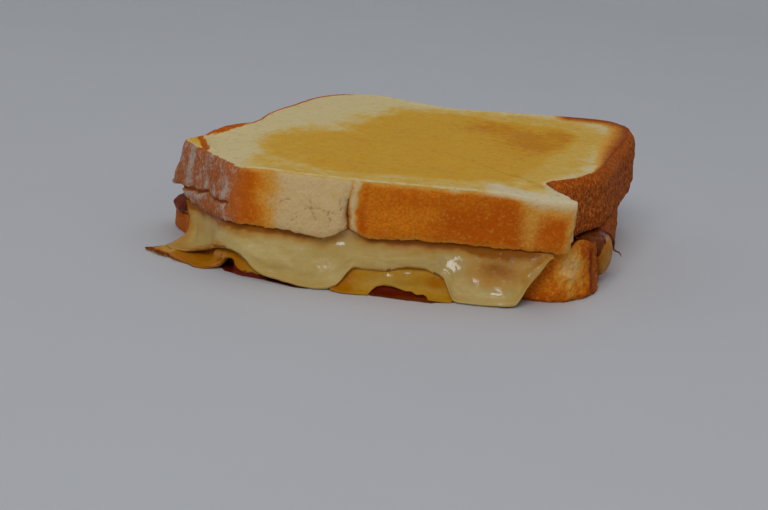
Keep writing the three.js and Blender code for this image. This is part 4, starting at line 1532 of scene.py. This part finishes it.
        def lining(s: float) -> Array:
            """A ring of the hanging wall's inner side.

            Args:
                s: 0 at the lip and 1 at the torn edge.

            Returns:
                Its places.
            """
            t = end * s
            a, b, c = (1 - t) ** 3, 3 * t * (1 - t), t**3
            offset = self.out - self.thick - 0.3 * (1 - t) + b * bend + c * flare - 0.7 * tuck * ramp(0.42, 0.0, t)
            rise = rim - hem_height - ((1 - end) ** 3 * low + (3 * end * (1 - end) + end**3) * base)
            return placed(offset, a * low + (b + c) * base + np.maximum(rise, 0) * s**4)

        steps = np.linspace(0, 1, 40) ** 1.2
        edge = self.out - tuck
        shoulder = [placed(edge - 1.3 + 0.28 * k, high - 0.3 * turn * (k / 4) ** 2) for k in range(5)]
        outer = [placed(*wall(end * t)) for t in steps]
        under_hem = [placed(reach_out - 0.4 * self.thick, rim - hem_height)]
        inner = [lining(s) for s in np.linspace(1, 0, 9)]
        ring_t = [0.0] * len(shoulder) + list(steps) + [1.0] * (1 + len(inner))
        skirt = np.array(shoulder + outer + under_hem + inner)
        reach = 1 - np.linspace(0, 1, 14)[1:-1] ** 1.4

        def face(edge: Array, share: float) -> Array:
            """The upper or lower face: a ring drawn in to the middle of the sandwich.

            Args:
                edge: The ring.
                share: Share of the height between the slices.

            Returns:
                Its rings from the edge inwards.
            """
            flat = edge[None, :, :2] * reach[:, None, None]
            height = between(flat[..., 0], flat[..., 1], share)
            if share == self.over:
                height = height + self.crown(flat[..., 0], flat[..., 1])
            return np.concatenate([flat, height[..., None]], axis=-1)

        rings = np.concatenate([face(skirt[0], self.over)[::-1], skirt, face(skirt[0], self.under)])
        rows = len(reach)
        t = np.concatenate([np.zeros(rows), ring_t, np.zeros(rows)])[:, None]
        outside = np.zeros(len(rings))
        outside[rows:rows + len(shoulder) + len(steps)] = 1.0
        front = outside[:, None] * np.where(hanging, 1.0, 0.0)
        rings = rings[::-1]
        t, front = t[::-1] * np.ones_like(front), front[::-1]
        normal = ring_normals(rings)
        rings = rings + normal * (self.swell(rings, t, front) * ramp(0.02, 0.25, t))[..., None]
        rings[..., 2] = np.maximum(rings[..., 2], THIN_EDGE)
        return settled(ring_mesh(self.name, rings, self.masks(rings, t, front)), self.node)


def waves(x: Array, y: Array, z: float) -> Array:
    """Low waves that make a sheet's edge uneven: three sines of x, y and z.

    Args:
        x: Places along the loaf.
        y: Places across it.
        z: Shifts the waves.

    Returns:
        Values from -1 to 1.
    """
    return (
        0.45 * np.sin(0.31 * x + 0.9 * z + 0.4) + 0.35 * np.sin(0.37 * y - 0.7 * z + 1.9)
        + 0.2 * np.sin(0.83 * x - 0.61 * y + 0.5 * z)
    )


@dataclass
class PaleCheese(MeltedSheet):
    """The pale upper cheese, with its folds, lobe and drip."""

    bulges: Array = table(  # x, height, half width, half height, bulge
        [-53.5, 6.5, 1.6, 5.0, 0.6], [-47.5, 6.5, 2.6, 3.0, -0.5], [-41.0, 8.5, 3.5, 2.2, 0.5],
        [-31.0, 6.5, 5.0, 3.0, 0.9], [-24.0, 3.6, 4.5, 2.4, 0.8], [-20.5, 9.6, 2.2, 1.5, -0.9],
        [-15.5, 8.8, 2.4, 1.8, 0.5], [-9.0, 7.8, 4.0, 1.8, 0.5], [3.0, 8.6, 4.0, 1.4, 0.4],
        [12.0, 7.1, 3.6, 2.5, 0.6], [17.5, 3.2, 3.2, 2.2, 0.7], [22.5, 7.6, 2.6, 2.0, -0.45],
        [27.0, 4.6, 2.2, 4.0, 0.5], [33.0, 9.4, 1.4, 1.3, 0.5], [30.8, 7.2, 1.4, 1.3, 0.45], [24.3, 1.2, 2.6, 1.6, 0.6],
        [-16.2, 9.6, 1.4, 1.2, 0.5], [-38.0, 9.4, 3.0, 1.4, 0.4])
    wet: Array = table(  # x, height, half width, half height, strength
        [11.8, 8.2, 3.2, 2.0, 1.7], [4.6, 8.6, 1.8, 0.9, 0.8], [17.9, 4.6, 1.6, 1.0, 0.8], [23.9, 2.4, 2.0, 1.4, 1.0],
        [-16, 10.8, 1.4, 1.2, 0.9], [-13.6, 13.0, 2.4, 1.2, 0.8], [27.1, 10.7, 1.2, 0.9, 0.8],
        [32.7, 10.7, 1.2, 1.0, 1.0], [31.5, 8.5, 1.3, 1.2, 0.9], [-19.5, 5.4, 3.0, 1.8, 0.42],
        [-37.8, 8.2, 1.2, 0.9, 0.3])
    tilts: Array = table(  # x, height, half width, half height, slopes
        [12.3, 8.1, 2.8, 2.0, 0.71, 0.25], [19.5, 4.2, 2.4, 1.3, 0.4, 0.19], [24.0, 2.4, 1.8, 1.3, 0.02, 0.5],
        [-37.8, 8.1, 1.6, 1.2, 0.18, 0.12], [-20.2, 4.6, 1.6, 1.2, 0.16, 0.05])

    def hang(self, x: Array, y: Array) -> tuple[Array, Array, Array]:
        """The hem table along the front; elsewhere a lip further inside the bread.

        Args:
            x: Places along the loaf.
            y: Places across it.

        Returns:
            Height of the hem, flare and inset.
        """
        hem, flare, inside = self.along_hem(PALE_HEM, x)
        front = inside & (y < FRONT_HALF)
        shy = SHY * np.maximum(1.8 * ramp(38, 46, x), ramp(-48, -56, x))
        inset = 3.4 + waves(x, y, 4) + shy + 8 * cut_corner(x, y)
        return (np.where(front, hem, np.nan), np.where(front, flare, 0.0),
                np.where(front, 1.6 * ramp(-43, -48, x), inset))

    def crown(self, x: Array, y: Array) -> Array:
        """The sheet is pressed against the bread along the front and fills the arch under the seam."""
        front = ramp(-20, -34, y) * ramp(38, 34, x)
        return front * (0.42 + 1.5 * bell(x, SEAM_X, 2.6) * ramp(-42, -46, y))

    def swell(self, places: Array, t: Array, front: Array) -> Array:
        """Folds and bulges of the run-out cheese, each a bell in x and height, over soft waves.

        Args:
            places: Places on the sheet.
            t: 0 at the lip and 1 at the hem.
            front: 1 on the hanging wall's outer side.

        Returns:
            How far it bulges.
        """
        x, z = places[..., 0], places[..., 2]
        total = sum(high * mound(x, z, *spot) for *spot, high in self.bulges)
        total = total + sum((sx * (x - cx) + sz * (z - cz)) * mound(x, z, cx, cz, wx, wz)
                            for cx, cz, wx, wz, sx, sz in self.tilts)
        folds = fractal(places * [0.5, 1.0, 1.3], 3.6, 3, 207)
        waved = 0.32 * fractal(places, 6.0, 2, 201) + 0.28 * folds + 0.07 * fractal(places, 1.2, 2, 204)
        return front * (total + waved)

    def masks(self, places: Array, t: Array, front: Array) -> Masks:
        """Painted shade and thin cheese: deep amber under the bread's edge where the bread overhangs, and in the dent
        at x -20.5; thin and brownish by the seam, over the drip's middle and at the hem.

        Args:
            places: Places on the sheet.
            t: 0 at the lip and 1 at the hem.
            front: 1 on the hanging wall's outer side.

        Returns:
            The masks.
        """
        x, z = places[..., 0], places[..., 2]
        # gap: how far below the bread's underside. Its ramp below paints shade: the cheese turns deep amber where the
        # bread overhangs it.
        gap = top_underside(x, places[..., 1]) - z + 0.5 * fractal(places, 3.0, 3, 209)
        seam = (1 - 0.65 * bell(x, -14.6, 4.5)) * (1 - 0.6 * ramp(31, 35, x))
        hem = ramp(0.72, 1.0, t) * (0.35 + 0.65 * bell(x, -6, 7)) * ramp(14, 8, x) * ramp(-48, -42, x)
        thin = 0.62 * mound(x, z, 23.5, 7.8, 8.5, 3.6) + 1.2 * ramp(4.2, 0.3, gap) * front * seam
        # The mound at x -20.5 darkens the dent there: painted shade in a hollow where the cheese is also thin.
        thin += 0.4 * mound(x, z, -20.5, 9.6, 2.6, 1.6) + 0.38 * hem * front
        # The ramp over x 13 to 20 darkens the drip a little: painted shade on its upward-facing slopes.
        thin += 0.3 * mound(x, z, -47, 6.0, 5, 1.6) + 0.2 * ramp(13, 20, x) * front * ramp(2, 5, z)
        thin += (0.55 * ramp(0.4, 1.0, t) * ramp(-43, -49, x) + 0.3 * ramp(-51.5, -53.5, x) * ramp(3, 6, z)) * front
        bright = 0.5 * mound(x, z, -15, 4.4, 5, 3) + 0.4 * mound(x, z, 20, 2, 6, 2.5)
        bright = bright + 0.3 * mound(x, z, -31, 7, 8, 3) + 0.35 * mound(x, z, -44, 8, 5, 4)
        wet = sum(high * mound(x, z, *spot) for *spot, high in self.wet)
        return {"thin": held(thin, 1.1), "bright": held(bright), "wet": held(wet) * front}


@dataclass
class AmberCheese(MeltedSheet):
    """The oily lower cheese, with its crisp skirt and its feet."""

    def hang(self, x: Array, y: Array) -> tuple[Array, Array, Array]:
        """The hem table along the front, and elsewhere a short lip.

        Args:
            x: Places along the loaf.
            y: Places across it.

        Returns:
            Height of the hem, flare and inset.
        """
        hem, flare, inside = self.along_hem(AMBER_HEM, x)
        front = inside & (y < FRONT_HALF)
        inset = 1.6 + 0.8 * waves(y, x, 2) + SHY * 1.6 * ramp(40, 48, x) + 10 * cut_corner(x, y)
        full = 0.6 * ramp(12, 15, x) + 0.5 * ramp(-35, -32, x) * ramp(-17, -20, x) + 0.9 * ramp(-43, -46, x)
        return np.where(front, hem, np.nan), np.where(front, flare, 0.0), np.where(front, full, inset)

    def notch(self, x: Array) -> Array:
        """The notches by the skirt and in the middle foot."""
        return notch_height(x)

    def swell(self, places: Array, t: Array, front: Array) -> Array:
        """A soft roll at the left under the pale cheese, blisters on the skirt and low waves.

        Args:
            places: Places on the sheet.
            t: 0 at the lip and 1 at the hem.
            front: 1 on the hanging wall's outer side.

        Returns:
            How far it bulges.
        """
        x, y, z = np.moveaxis(places, -1, 0)
        roll = 1.3 * mound(x, z, -46.5, 3.0, 4.0, 2.2) * ramp(-36, -40, y)
        roll = roll + 1.1 * ramp(-17, -9, x) * ramp(15, 9, x) * bell(z, 4.8, 2.4)
        crisp = np.abs(fractal(places, 2.0, 3, 221)) * 1.1 * ramp(-54, -60, x)
        return front * (roll + crisp + 0.3 * fractal(places, 5.0, 2, 211) + 0.12 * fractal(places, 1.5, 3, 214))

    def masks(self, places: Array, t: Array, front: Array) -> Masks:
        """Fried brown at the skirt's tip and edge and at the hems, thin and oily in between, and dark on the inner
        side, which is painted shade where it shows inside the torn notches.

        Args:
            places: Places on the sheet.
            t: 0 at the lip and 1 at the hem.
            front: 1 on the hanging wall's outer side.

        Returns:
            The masks.
        """
        x, y, z = np.moveaxis(places, -1, 0)
        tip = ramp(-56, -62, x) * ramp(-20, -24, y)
        hem = ramp(0.93, 1.0, t)
        # The inner side is painted burnt and deep: painted shade where it shows inside the torn notches.
        inner = (1 - front) * ramp(1.0, 0.9, t)
        fried = front * (0.36 * tip + 0.8 * hem * ramp(-43, -50, x) + 0.15 * hem) + inner
        left = ramp(-36, -42, x)
        middle = mound(x, z, 8.5, 4.0, 3.0, 2.0) + 0.8 * ramp(-9, -14, x) * ramp(-22, -18, x)
        thin = front * np.maximum(0.72 * left * (1 - tip) - 0.2 * bell(x, -50, 3), 0.6 * middle)
        wet = mound(x, z, -46.4, 4.2, 2.4, 1.2)
        wet = wet + 0.6 * mound(x, z, 1.5, 5.2, 1.6, 0.8) + 0.6 * mound(x, z, -3.6, 4.4, 1.4, 0.8)
        return {"wet": held(wet) * front, "fried": held(fried), "thin": held(thin + inner),
                "bright": held(front * (0.9 * tip + 0.5 * mound(x, z, -2, 3, 6, 2)))}


# ---- Onion ----


@dataclass
class OnionStrand:
    """A strand of onion: an oval tube along a smooth path, ribbed lengthways and thinner at its ends."""

    path: Array
    radius: float
    taper: float
    rows: int = 90
    sides: int = 28
    flatness: float = 0.85

    def rings(self) -> tuple[Array, Array]:
        """The strand's rings, and its ribs as a mask.

        Each ring is an oval across the path, turned as little as possible from the one before, with its
        radius falling to both ends and seven low ribs round it.

        Returns:
            Rings of shape (rows, sides, 3) and ribs of shape (rows, sides).
        """
        line = open_curve(self.path, self.rows)
        tangent = unit(np.gradient(line, axis=0))
        side = np.empty_like(line)
        side[0] = np.cross(tangent[0], [0, 0, 1.0])
        for i in range(1, self.rows):
            side[i] = side[i - 1] - tangent[i] * (side[i - 1] @ tangent[i])
        side = unit(side)
        up = np.cross(tangent, side)
        t = np.linspace(0, 1, self.rows)[:, None]
        angle = np.linspace(0, 2 * math.pi, self.sides, endpoint=False)[None, :]
        rib = 0.5 + 0.5 * np.cos(7 * angle + 2.0 * t)
        size = self.radius * (1 - self.taper * np.abs(2 * t - 1) ** 2.2) * (0.96 + 0.07 * rib)
        size = size * np.sqrt(np.clip(1 - np.abs(2 * t - 1) ** 12, 0.02, 1))
        ring = line[:, None] + size[..., None] * (
            np.cos(angle)[..., None] * side[:, None] + self.flatness * np.sin(angle)[..., None] * up[:, None])
        return ring + 0.12 * self.radius * fractal(ring, 2.2, 2, 301)[..., None] * side[:, None], rib


@dataclass
class CheeseDrip:
    """The lower cheese's flap at the loaf's base: a glossy drop that swells out and runs down to a point."""

    name: str = "amber_drip"
    node: str = "cheese_amber"
    slot: Slot = Slot.AMBER_CHEESE
    rows: int = 80
    sides: int = 72
    # Middle of each section (x, y, z), its half width along the wall and its half depth out from it.
    sections: Array = table(
        [44.5, -19.5, 12.3, 6.4, 0.9], [48.0, -20.5, 12.4, 7.6, 1.2], [50.8, -21.2, 11.6, 7.8, 1.9],
        [52.0, -21.2, 9.8, 7.2, 2.4], [52.6, -20.8, 7.8, 6.0, 2.3], [52.8, -20.0, 5.8, 4.4, 2.0],
        [52.9, -19.0, 3.8, 2.9, 1.6], [52.9, -17.8, 2.2, 1.5, 1.0], [52.9, -16.9, 1.1, 0.4, 0.3])

    def build(self) -> Object:
        """Makes the drop.

        Each ring is an oval across a smooth path through the sections' middles: its wide axis lies along the
        wall and its other axis across the wide axis and the path. Low folds run down it.

        Returns:
            The drop, with its masks.
        """
        knots = self.sections
        line = open_curve(knots[:, :3], self.rows)
        known, run = run_length(knots[:, :3]), run_length(line)
        wide, deep = (np.interp(run / run[-1] * known[-1], known, knots[:, k])[:, None, None] for k in (3, 4))
        tangent = unit(np.gradient(line, axis=0))
        across = np.array([0.24, 0.97, 0.0])
        across = unit(across - tangent * (tangent @ across)[:, None])
        over = np.cross(across, tangent)
        angle = np.linspace(0, 2 * math.pi, self.sides, endpoint=False)[None, :, None]
        rings = line[:, None] + wide * np.cos(angle) * across[:, None] + deep * np.sin(angle) * over[:, None]
        rings = rings + (0.5 * fractal(rings * [1.0, 1.0, 0.5], 2.4, 3, 231))[..., None] * over[:, None]
        rings[..., 2] = np.maximum(rings[..., 2], THIN_EDGE)
        z = rings[..., 2]
        dark = z + 1.2 * fractal(rings, 3.0, 3, 233) - 1.5 * (rings[..., 0] - 51.2)
        return settled(ring_mesh(self.name, rings, {
            "thin": held(0.45 * ramp(5.0, 8.5, dark) + 0.4), "fried": ramp(6.5, 10.5, dark),
            "wet": mound(rings[..., 1], z, -21.2, 12.4, 2.0, 1.0)}), self.node)


@dataclass
class OnionFilling:
    """The cooked onion: strands that show at the ends, and the thin bed between the cheeses."""

    name: str = "onion_filling"
    node: str = "onion"
    slot: Slot = Slot.COOKED_ONION
    strands: tuple[OnionStrand, ...] = (
        OnionStrand(np.array([
            [-45, -14, 10.6], [-54.5, -13.2, 9.0], [-60.6, -9.4, 8.2], [-58.0, -4.2, 8.6],
            [-47, -1.5, 10.6]]), 2.6, 0.7),
        OnionStrand(np.array([
            [40, -12, 13.2], [47.0, -18, 13.4], [51.6, -19.6, 13.4], [54.6, -17.6, 12.0], [56.0, -14.6, 9.8],
            [56.4, -12.4, 7.4], [57.3, -10.8, 6.2], [58.6, -10.4, 5.6], [59.2, -10.8, 4.6]]), 0.5, 0.6),
        OnionStrand(np.array([[38, -14, 12.9], [42.6, -24, 12.9], [45.6, -33.4, 13.3], [47.2, -34.2, 13.4]]), 0.5, 0.6),
    )

    def build(self) -> Object:
        """Makes the strands and the bed as separate closed pieces and joins them.

        Returns:
            The filling, with its ribs as a mask.
        """
        pieces = []
        for number, strand in enumerate(self.strands):
            rings, rib = strand.rings()
            pieces.append(ring_mesh(f"{self.name}_{number}", rings, {"rib": rib}))
        pieces.append(self._bed())
        piece = pieces[0]
        with bpy.context.temp_override(
                active_object=piece, selected_editable_objects=pieces, selected_objects=pieces):
            bpy.ops.object.join()
        piece.name = piece.data.name = self.name
        return settled(piece, self.node)

    def _bed(self) -> Object:
        """Makes the bed: two faces between the slices, joined round a rim well inside the bread's edge.

        Returns:
            The bed.
        """
        line = Outline.of(BOTTOM_EDGE, 240)
        stay = 7.5 + 8 * cut_corner(line.lower[:, 0], line.lower[:, 1])
        rim = line.lower - line.outward * stay[:, None]
        levels = (  # share of the height between the slices, share of the rim's reach
            (0.42, 0.2), (0.42, 0.6), (0.42, 0.9), (0.44, 1.0), (0.56, 1.0), (0.58, 0.9), (0.58, 0.6), (0.58, 0.2))
        rings = [np.column_stack([rim * reach, between(rim[:, 0] * reach, rim[:, 1] * reach, share)])
                 for share, reach in levels]
        return ring_mesh(f"{self.name}_bed", np.array(rings), {"rib": 0.3})


# ---- Painted shade film ----


@dataclass
class PaintedShadeFilm:
    """A dark film along the front of the bottom slice: painted shade under the cheese's hem and in its torn notches."""

    name: str = "painted_shade_film"
    columns: int = 260

    def build(self) -> Object:
        """Makes the film: a flat ring of uneven width that is 0.2 mm high inside and thins to its rim, with a ridge
        that rises into the cheese's torn notches.

        Returns:
            The film, with a mask that is 0 at its rim.
        """
        x = mix(-48.0, 30.0, np.linspace(0, 1, self.columns))
        here = np.stack([x, np.full_like(x, 3.0), np.zeros_like(x)], axis=-1)
        inner = np.interp(x, [-50, -45, -38.5, -28, 30], [-30, -38.5, -43.4, -44.8, -45.4])
        reach = np.interp(x, [-48, -44.7, -40.3, -34.6, -27.2, -23, -18, -11, -7.4, 0, 7.7, 12, 30],
                          [-37, -44.4, -47.4, -49.6, -53.6, -54, -52, -53, -55.6, -56.4, -57.2, -55, -46.2])
        outer = np.minimum(inner - 0.8, reach + 0.5 * fractal(here, 5.0, 3, 401))
        front = np.stack([x, outer], axis=1)
        back = np.stack([x, inner + 1.2], axis=1)
        loop = np.vstack([front, back[::-1]])
        centre = mix(front, back, 0.5)
        middle = np.vstack([centre, centre[::-1]])
        # The ridge fills the torn notches with the film's dark colour: painted shade in the holes.
        bead = (0.85 + 0.35 * ramp(-36, -39, loop[:, 0])) * notch_height(loop[:, 0])
        ridge = np.interp(loop[:, 0], [-45, -38.5, -28, 30], [-41.6, -46.6, -49.0, -49.8])
        rings, rim = [], []
        for inward, value in ((0.98, 1.0), (0.3, 0.6), (0.0, 0.0)):
            rings.append(np.column_stack([mix(loop, middle, inward), np.full(len(loop), 0.02)]))
            rim.append(np.full(len(loop), value))
        for inward in np.linspace(0.06, 0.98, 18):
            flat = mix(loop, middle, inward)
            height = 0.22 * ramp(-0.1, 0.7, inward) + bead * bell(flat[:, 1], ridge, 1.5) * ramp(0, 0.2, inward)
            rings.append(np.column_stack([flat, height]))
            rim.append(ramp(-0.05, 0.5, inward) + np.minimum(bead, 1) * bell(flat[:, 1], ridge, 2.0))
        return settled(ring_mesh(self.name, np.array(rings), {"rim": np.array(rim)}))


# ---- Stage, lights and camera ----


@dataclass(frozen=True)
class Lamp:
    """A square area light that looks at the sandwich; place and size are in millimetres."""

    name: str
    place: tuple[float, float, float]
    size: float
    power: float
    tint: Colour
    diffuse: bool = True
    glossy: bool = True

    def hang(self) -> None:
        """Puts the lamp into the scene."""
        light = bpy.data.lights.new(self.name, "AREA")
        light.shape, light.size = "SQUARE", self.size * MM
        light.energy, light.color = self.power, self.tint
        lamp = in_scene(self.name, light)
        lamp.location = Vector(self.place) * MM
        lamp.rotation_euler = (-lamp.location).to_track_quat("-Z", "Y").to_euler()
        lamp.visible_diffuse, lamp.visible_glossy = self.diffuse, self.glossy


@dataclass(frozen=True)
class Studio:
    """A plain pale floor that curves up into a backdrop, soft light and a long lens; sizes are in millimetres."""

    floor: Colour = (0.62, 0.635, 0.68)
    shade: Colour = (0.5, 0.5, 0.53)
    sky: Colour = (0.93, 0.97, 1.0)
    ambient: float = 0.24
    lens_pixels: float = 1624.0
    image_width: int = 768
    sensor: float = 36.0
    eye: tuple[float, float, float] = (-3.1, -439.0, 112.0)
    aim: tuple[float, float, float] = (-0.00446, 0.96694, -0.25496)
    roll: float = 5.14
    half_width: float = 2600.0
    bend_start: float = 700.0
    bend_radius: float = 500.0
    wall_top: float = 1800.0
    drop: float = 0.02
    lamps: tuple[Lamp, ...] = (
        Lamp("window", (-330, -1300, 1180), 800, 9.4, (1.0, 0.985, 0.96), glossy=False),
        Lamp("pane", (-314, -1235, 1121), 760, 6.0, (0.84, 0.92, 1.0), diffuse=False),
        Lamp("overhead", (250, 350, 1500), 1200, 3.4, (1.0, 0.99, 0.97)),
    )

    def build(self) -> None:
        """Sets the stage, the lights, the surroundings and the camera."""
        self._stage()
        self._surroundings()
        for lamp in self.lamps:
            lamp.hang()
        self._camera()

    def _stage(self) -> None:
        """A sheet that runs flat and then curves up behind: a profile carried sideways."""
        flat = np.linspace(-self.half_width, self.bend_start, 30)
        bend = np.linspace(0, math.pi / 2, 24)[1:]
        profile = np.concatenate([
            np.stack([flat, np.zeros_like(flat)], axis=1),
            np.stack([self.bend_start + self.bend_radius * np.sin(bend),
                      self.bend_radius - self.bend_radius * np.cos(bend)], axis=1),
            [[self.bend_start + self.bend_radius, self.wall_top]]])
        rows, columns = len(profile), 12
        places = np.empty((rows, columns, 3))
        places[..., 0] = np.linspace(-self.half_width, self.half_width, columns)
        places[..., 1:] = (profile - [0, self.drop])[:, None]
        grid = np.arange(rows * columns).reshape(rows, columns)
        quads = np.stack([grid[:-1, :-1], grid[:-1, 1:], grid[1:, 1:], grid[1:, :-1]], axis=-1).reshape(-1, 4)
        mesh = bpy.data.meshes.new("floor")
        mesh.from_pydata((places.reshape(-1, 3) * MM).tolist(), [], quads.tolist())
        mesh.polygons.foreach_set("use_smooth", np.ones(len(quads), bool))
        mesh.update()
        floor = in_scene("floor", mesh)
        material, s = new_material("pale_floor")
        cloud = s.window(s.noise(60.0), 0.3, 0.7, (0.0, 0.06))
        principled(s, {"Base Color": s.blend(cloud, self.floor, self.shade), "Roughness": 0.7})
        floor.data.materials.append(material)

    def _surroundings(self) -> None:
        """Even, cool light from all round."""
        world = bpy.data.worlds.new("surroundings")
        world.use_nodes = True
        sky = world.node_tree.nodes["Background"].inputs
        sky["Color"].default_value = (*self.sky, 1)
        sky["Strength"].default_value = self.ambient
        bpy.context.scene.world = world

    def _camera(self) -> None:
        """The camera looks along aim, rolled so that the view's right side lies lower."""
        forward = Vector(self.aim).normalized()
        level = forward.cross(Vector((0, 0, 1))).normalized()
        right = Matrix.Rotation(-math.radians(self.roll), 3, forward) @ level
        up = right.cross(forward)
        lens = bpy.data.cameras.new("camera")
        lens.sensor_width = self.sensor
        lens.lens = self.lens_pixels * self.sensor / self.image_width
        lens.clip_start, lens.clip_end = 0.01, 20
        camera = in_scene("camera", lens)
        turn = Matrix((right, up, -forward)).transposed().to_4x4()
        camera.matrix_world = Matrix.Translation(Vector(self.eye) * MM) @ turn
        bpy.context.scene.camera = camera


def dress(piece: Object, material: Material) -> None:
    """Gives the piece its one material and reports it.

    Args:
        piece: The piece.
        material: The material.
    """
    piece.data.materials.clear()
    piece.data.materials.append(material)
    LOG.info("%s: %d faces in %s", piece.name, len(piece.data.polygons), material.name)


def main() -> None:
    """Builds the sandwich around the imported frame, piece by piece."""
    logging.basicConfig(level=logging.INFO, format="%(message)s")
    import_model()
    Studio().build()
    effects = Effects.build()
    toasted = BreadFinish("fried_white_bread", effects).build()
    under = BreadFinish(
        "browned_under_slice", effects, shred=(0.95, 0.56, 0.19), honey=(0.88, 0.38, 0.045), grain=0.6).build()
    # The pale cheese's deep colour is mostly painted shade: the dark band under the bread's edge.
    pale = CheeseFinish(
        "pale_melt", effects, body=(0.58, 0.40, 0.118), bright=(0.69, 0.55, 0.24), thin=(0.57, 0.30, 0.06),
        deep=(0.36, 0.11, 0.001), browned=(0.55, 0.22, 0.05), burnt=(0.3, 0.08, 0.02)).build()
    amber = CheeseFinish(
        "amber_melt", effects, body=(0.56, 0.27, 0.010), bright=(0.64, 0.41, 0.09), thin=(0.50, 0.185, 0.002),
        deep=(0.42, 0.13, 0.003), browned=(0.54, 0.17, 0.02), burnt=(0.15, 0.03, 0.003),
        roughness=0.38, sheen=0.08).build()
    dress(TopSlice("top_slice", "bread_top", Slot.TOASTED_BREAD, TOP_EDGE).build(), toasted)
    dress(BottomSlice("bottom_slice", "bread_bottom", Slot.TOASTED_CRUST, BOTTOM_EDGE).build(), under)
    dress(PaleCheese("pale_cheese", "cheese_pale", Slot.PALE_CHEESE, over=0.97, under=0.7, out=4.0, thick=1.35,
                     slump=0.25, tuck=2.3, ease=3).build(), pale)
    dress(AmberCheese("amber_cheese", "cheese_amber", Slot.AMBER_CHEESE, over=0.28, under=0.0, out=2.0, thick=1.0,
                      slump=0.34, tuck=0.9, ease=1).build(), amber)
    dress(CheeseDrip().build(), amber)
    dress(OnionFilling().build(), OnionFinish("cooked_onion", effects).build())
    dress(PaintedShadeFilm().build(), PaintedShadeFinish("painted_shade_film", effects).build())
    bpy.context.scene.view_settings.view_transform = "Standard"


if __name__ == "__main__":
    main()
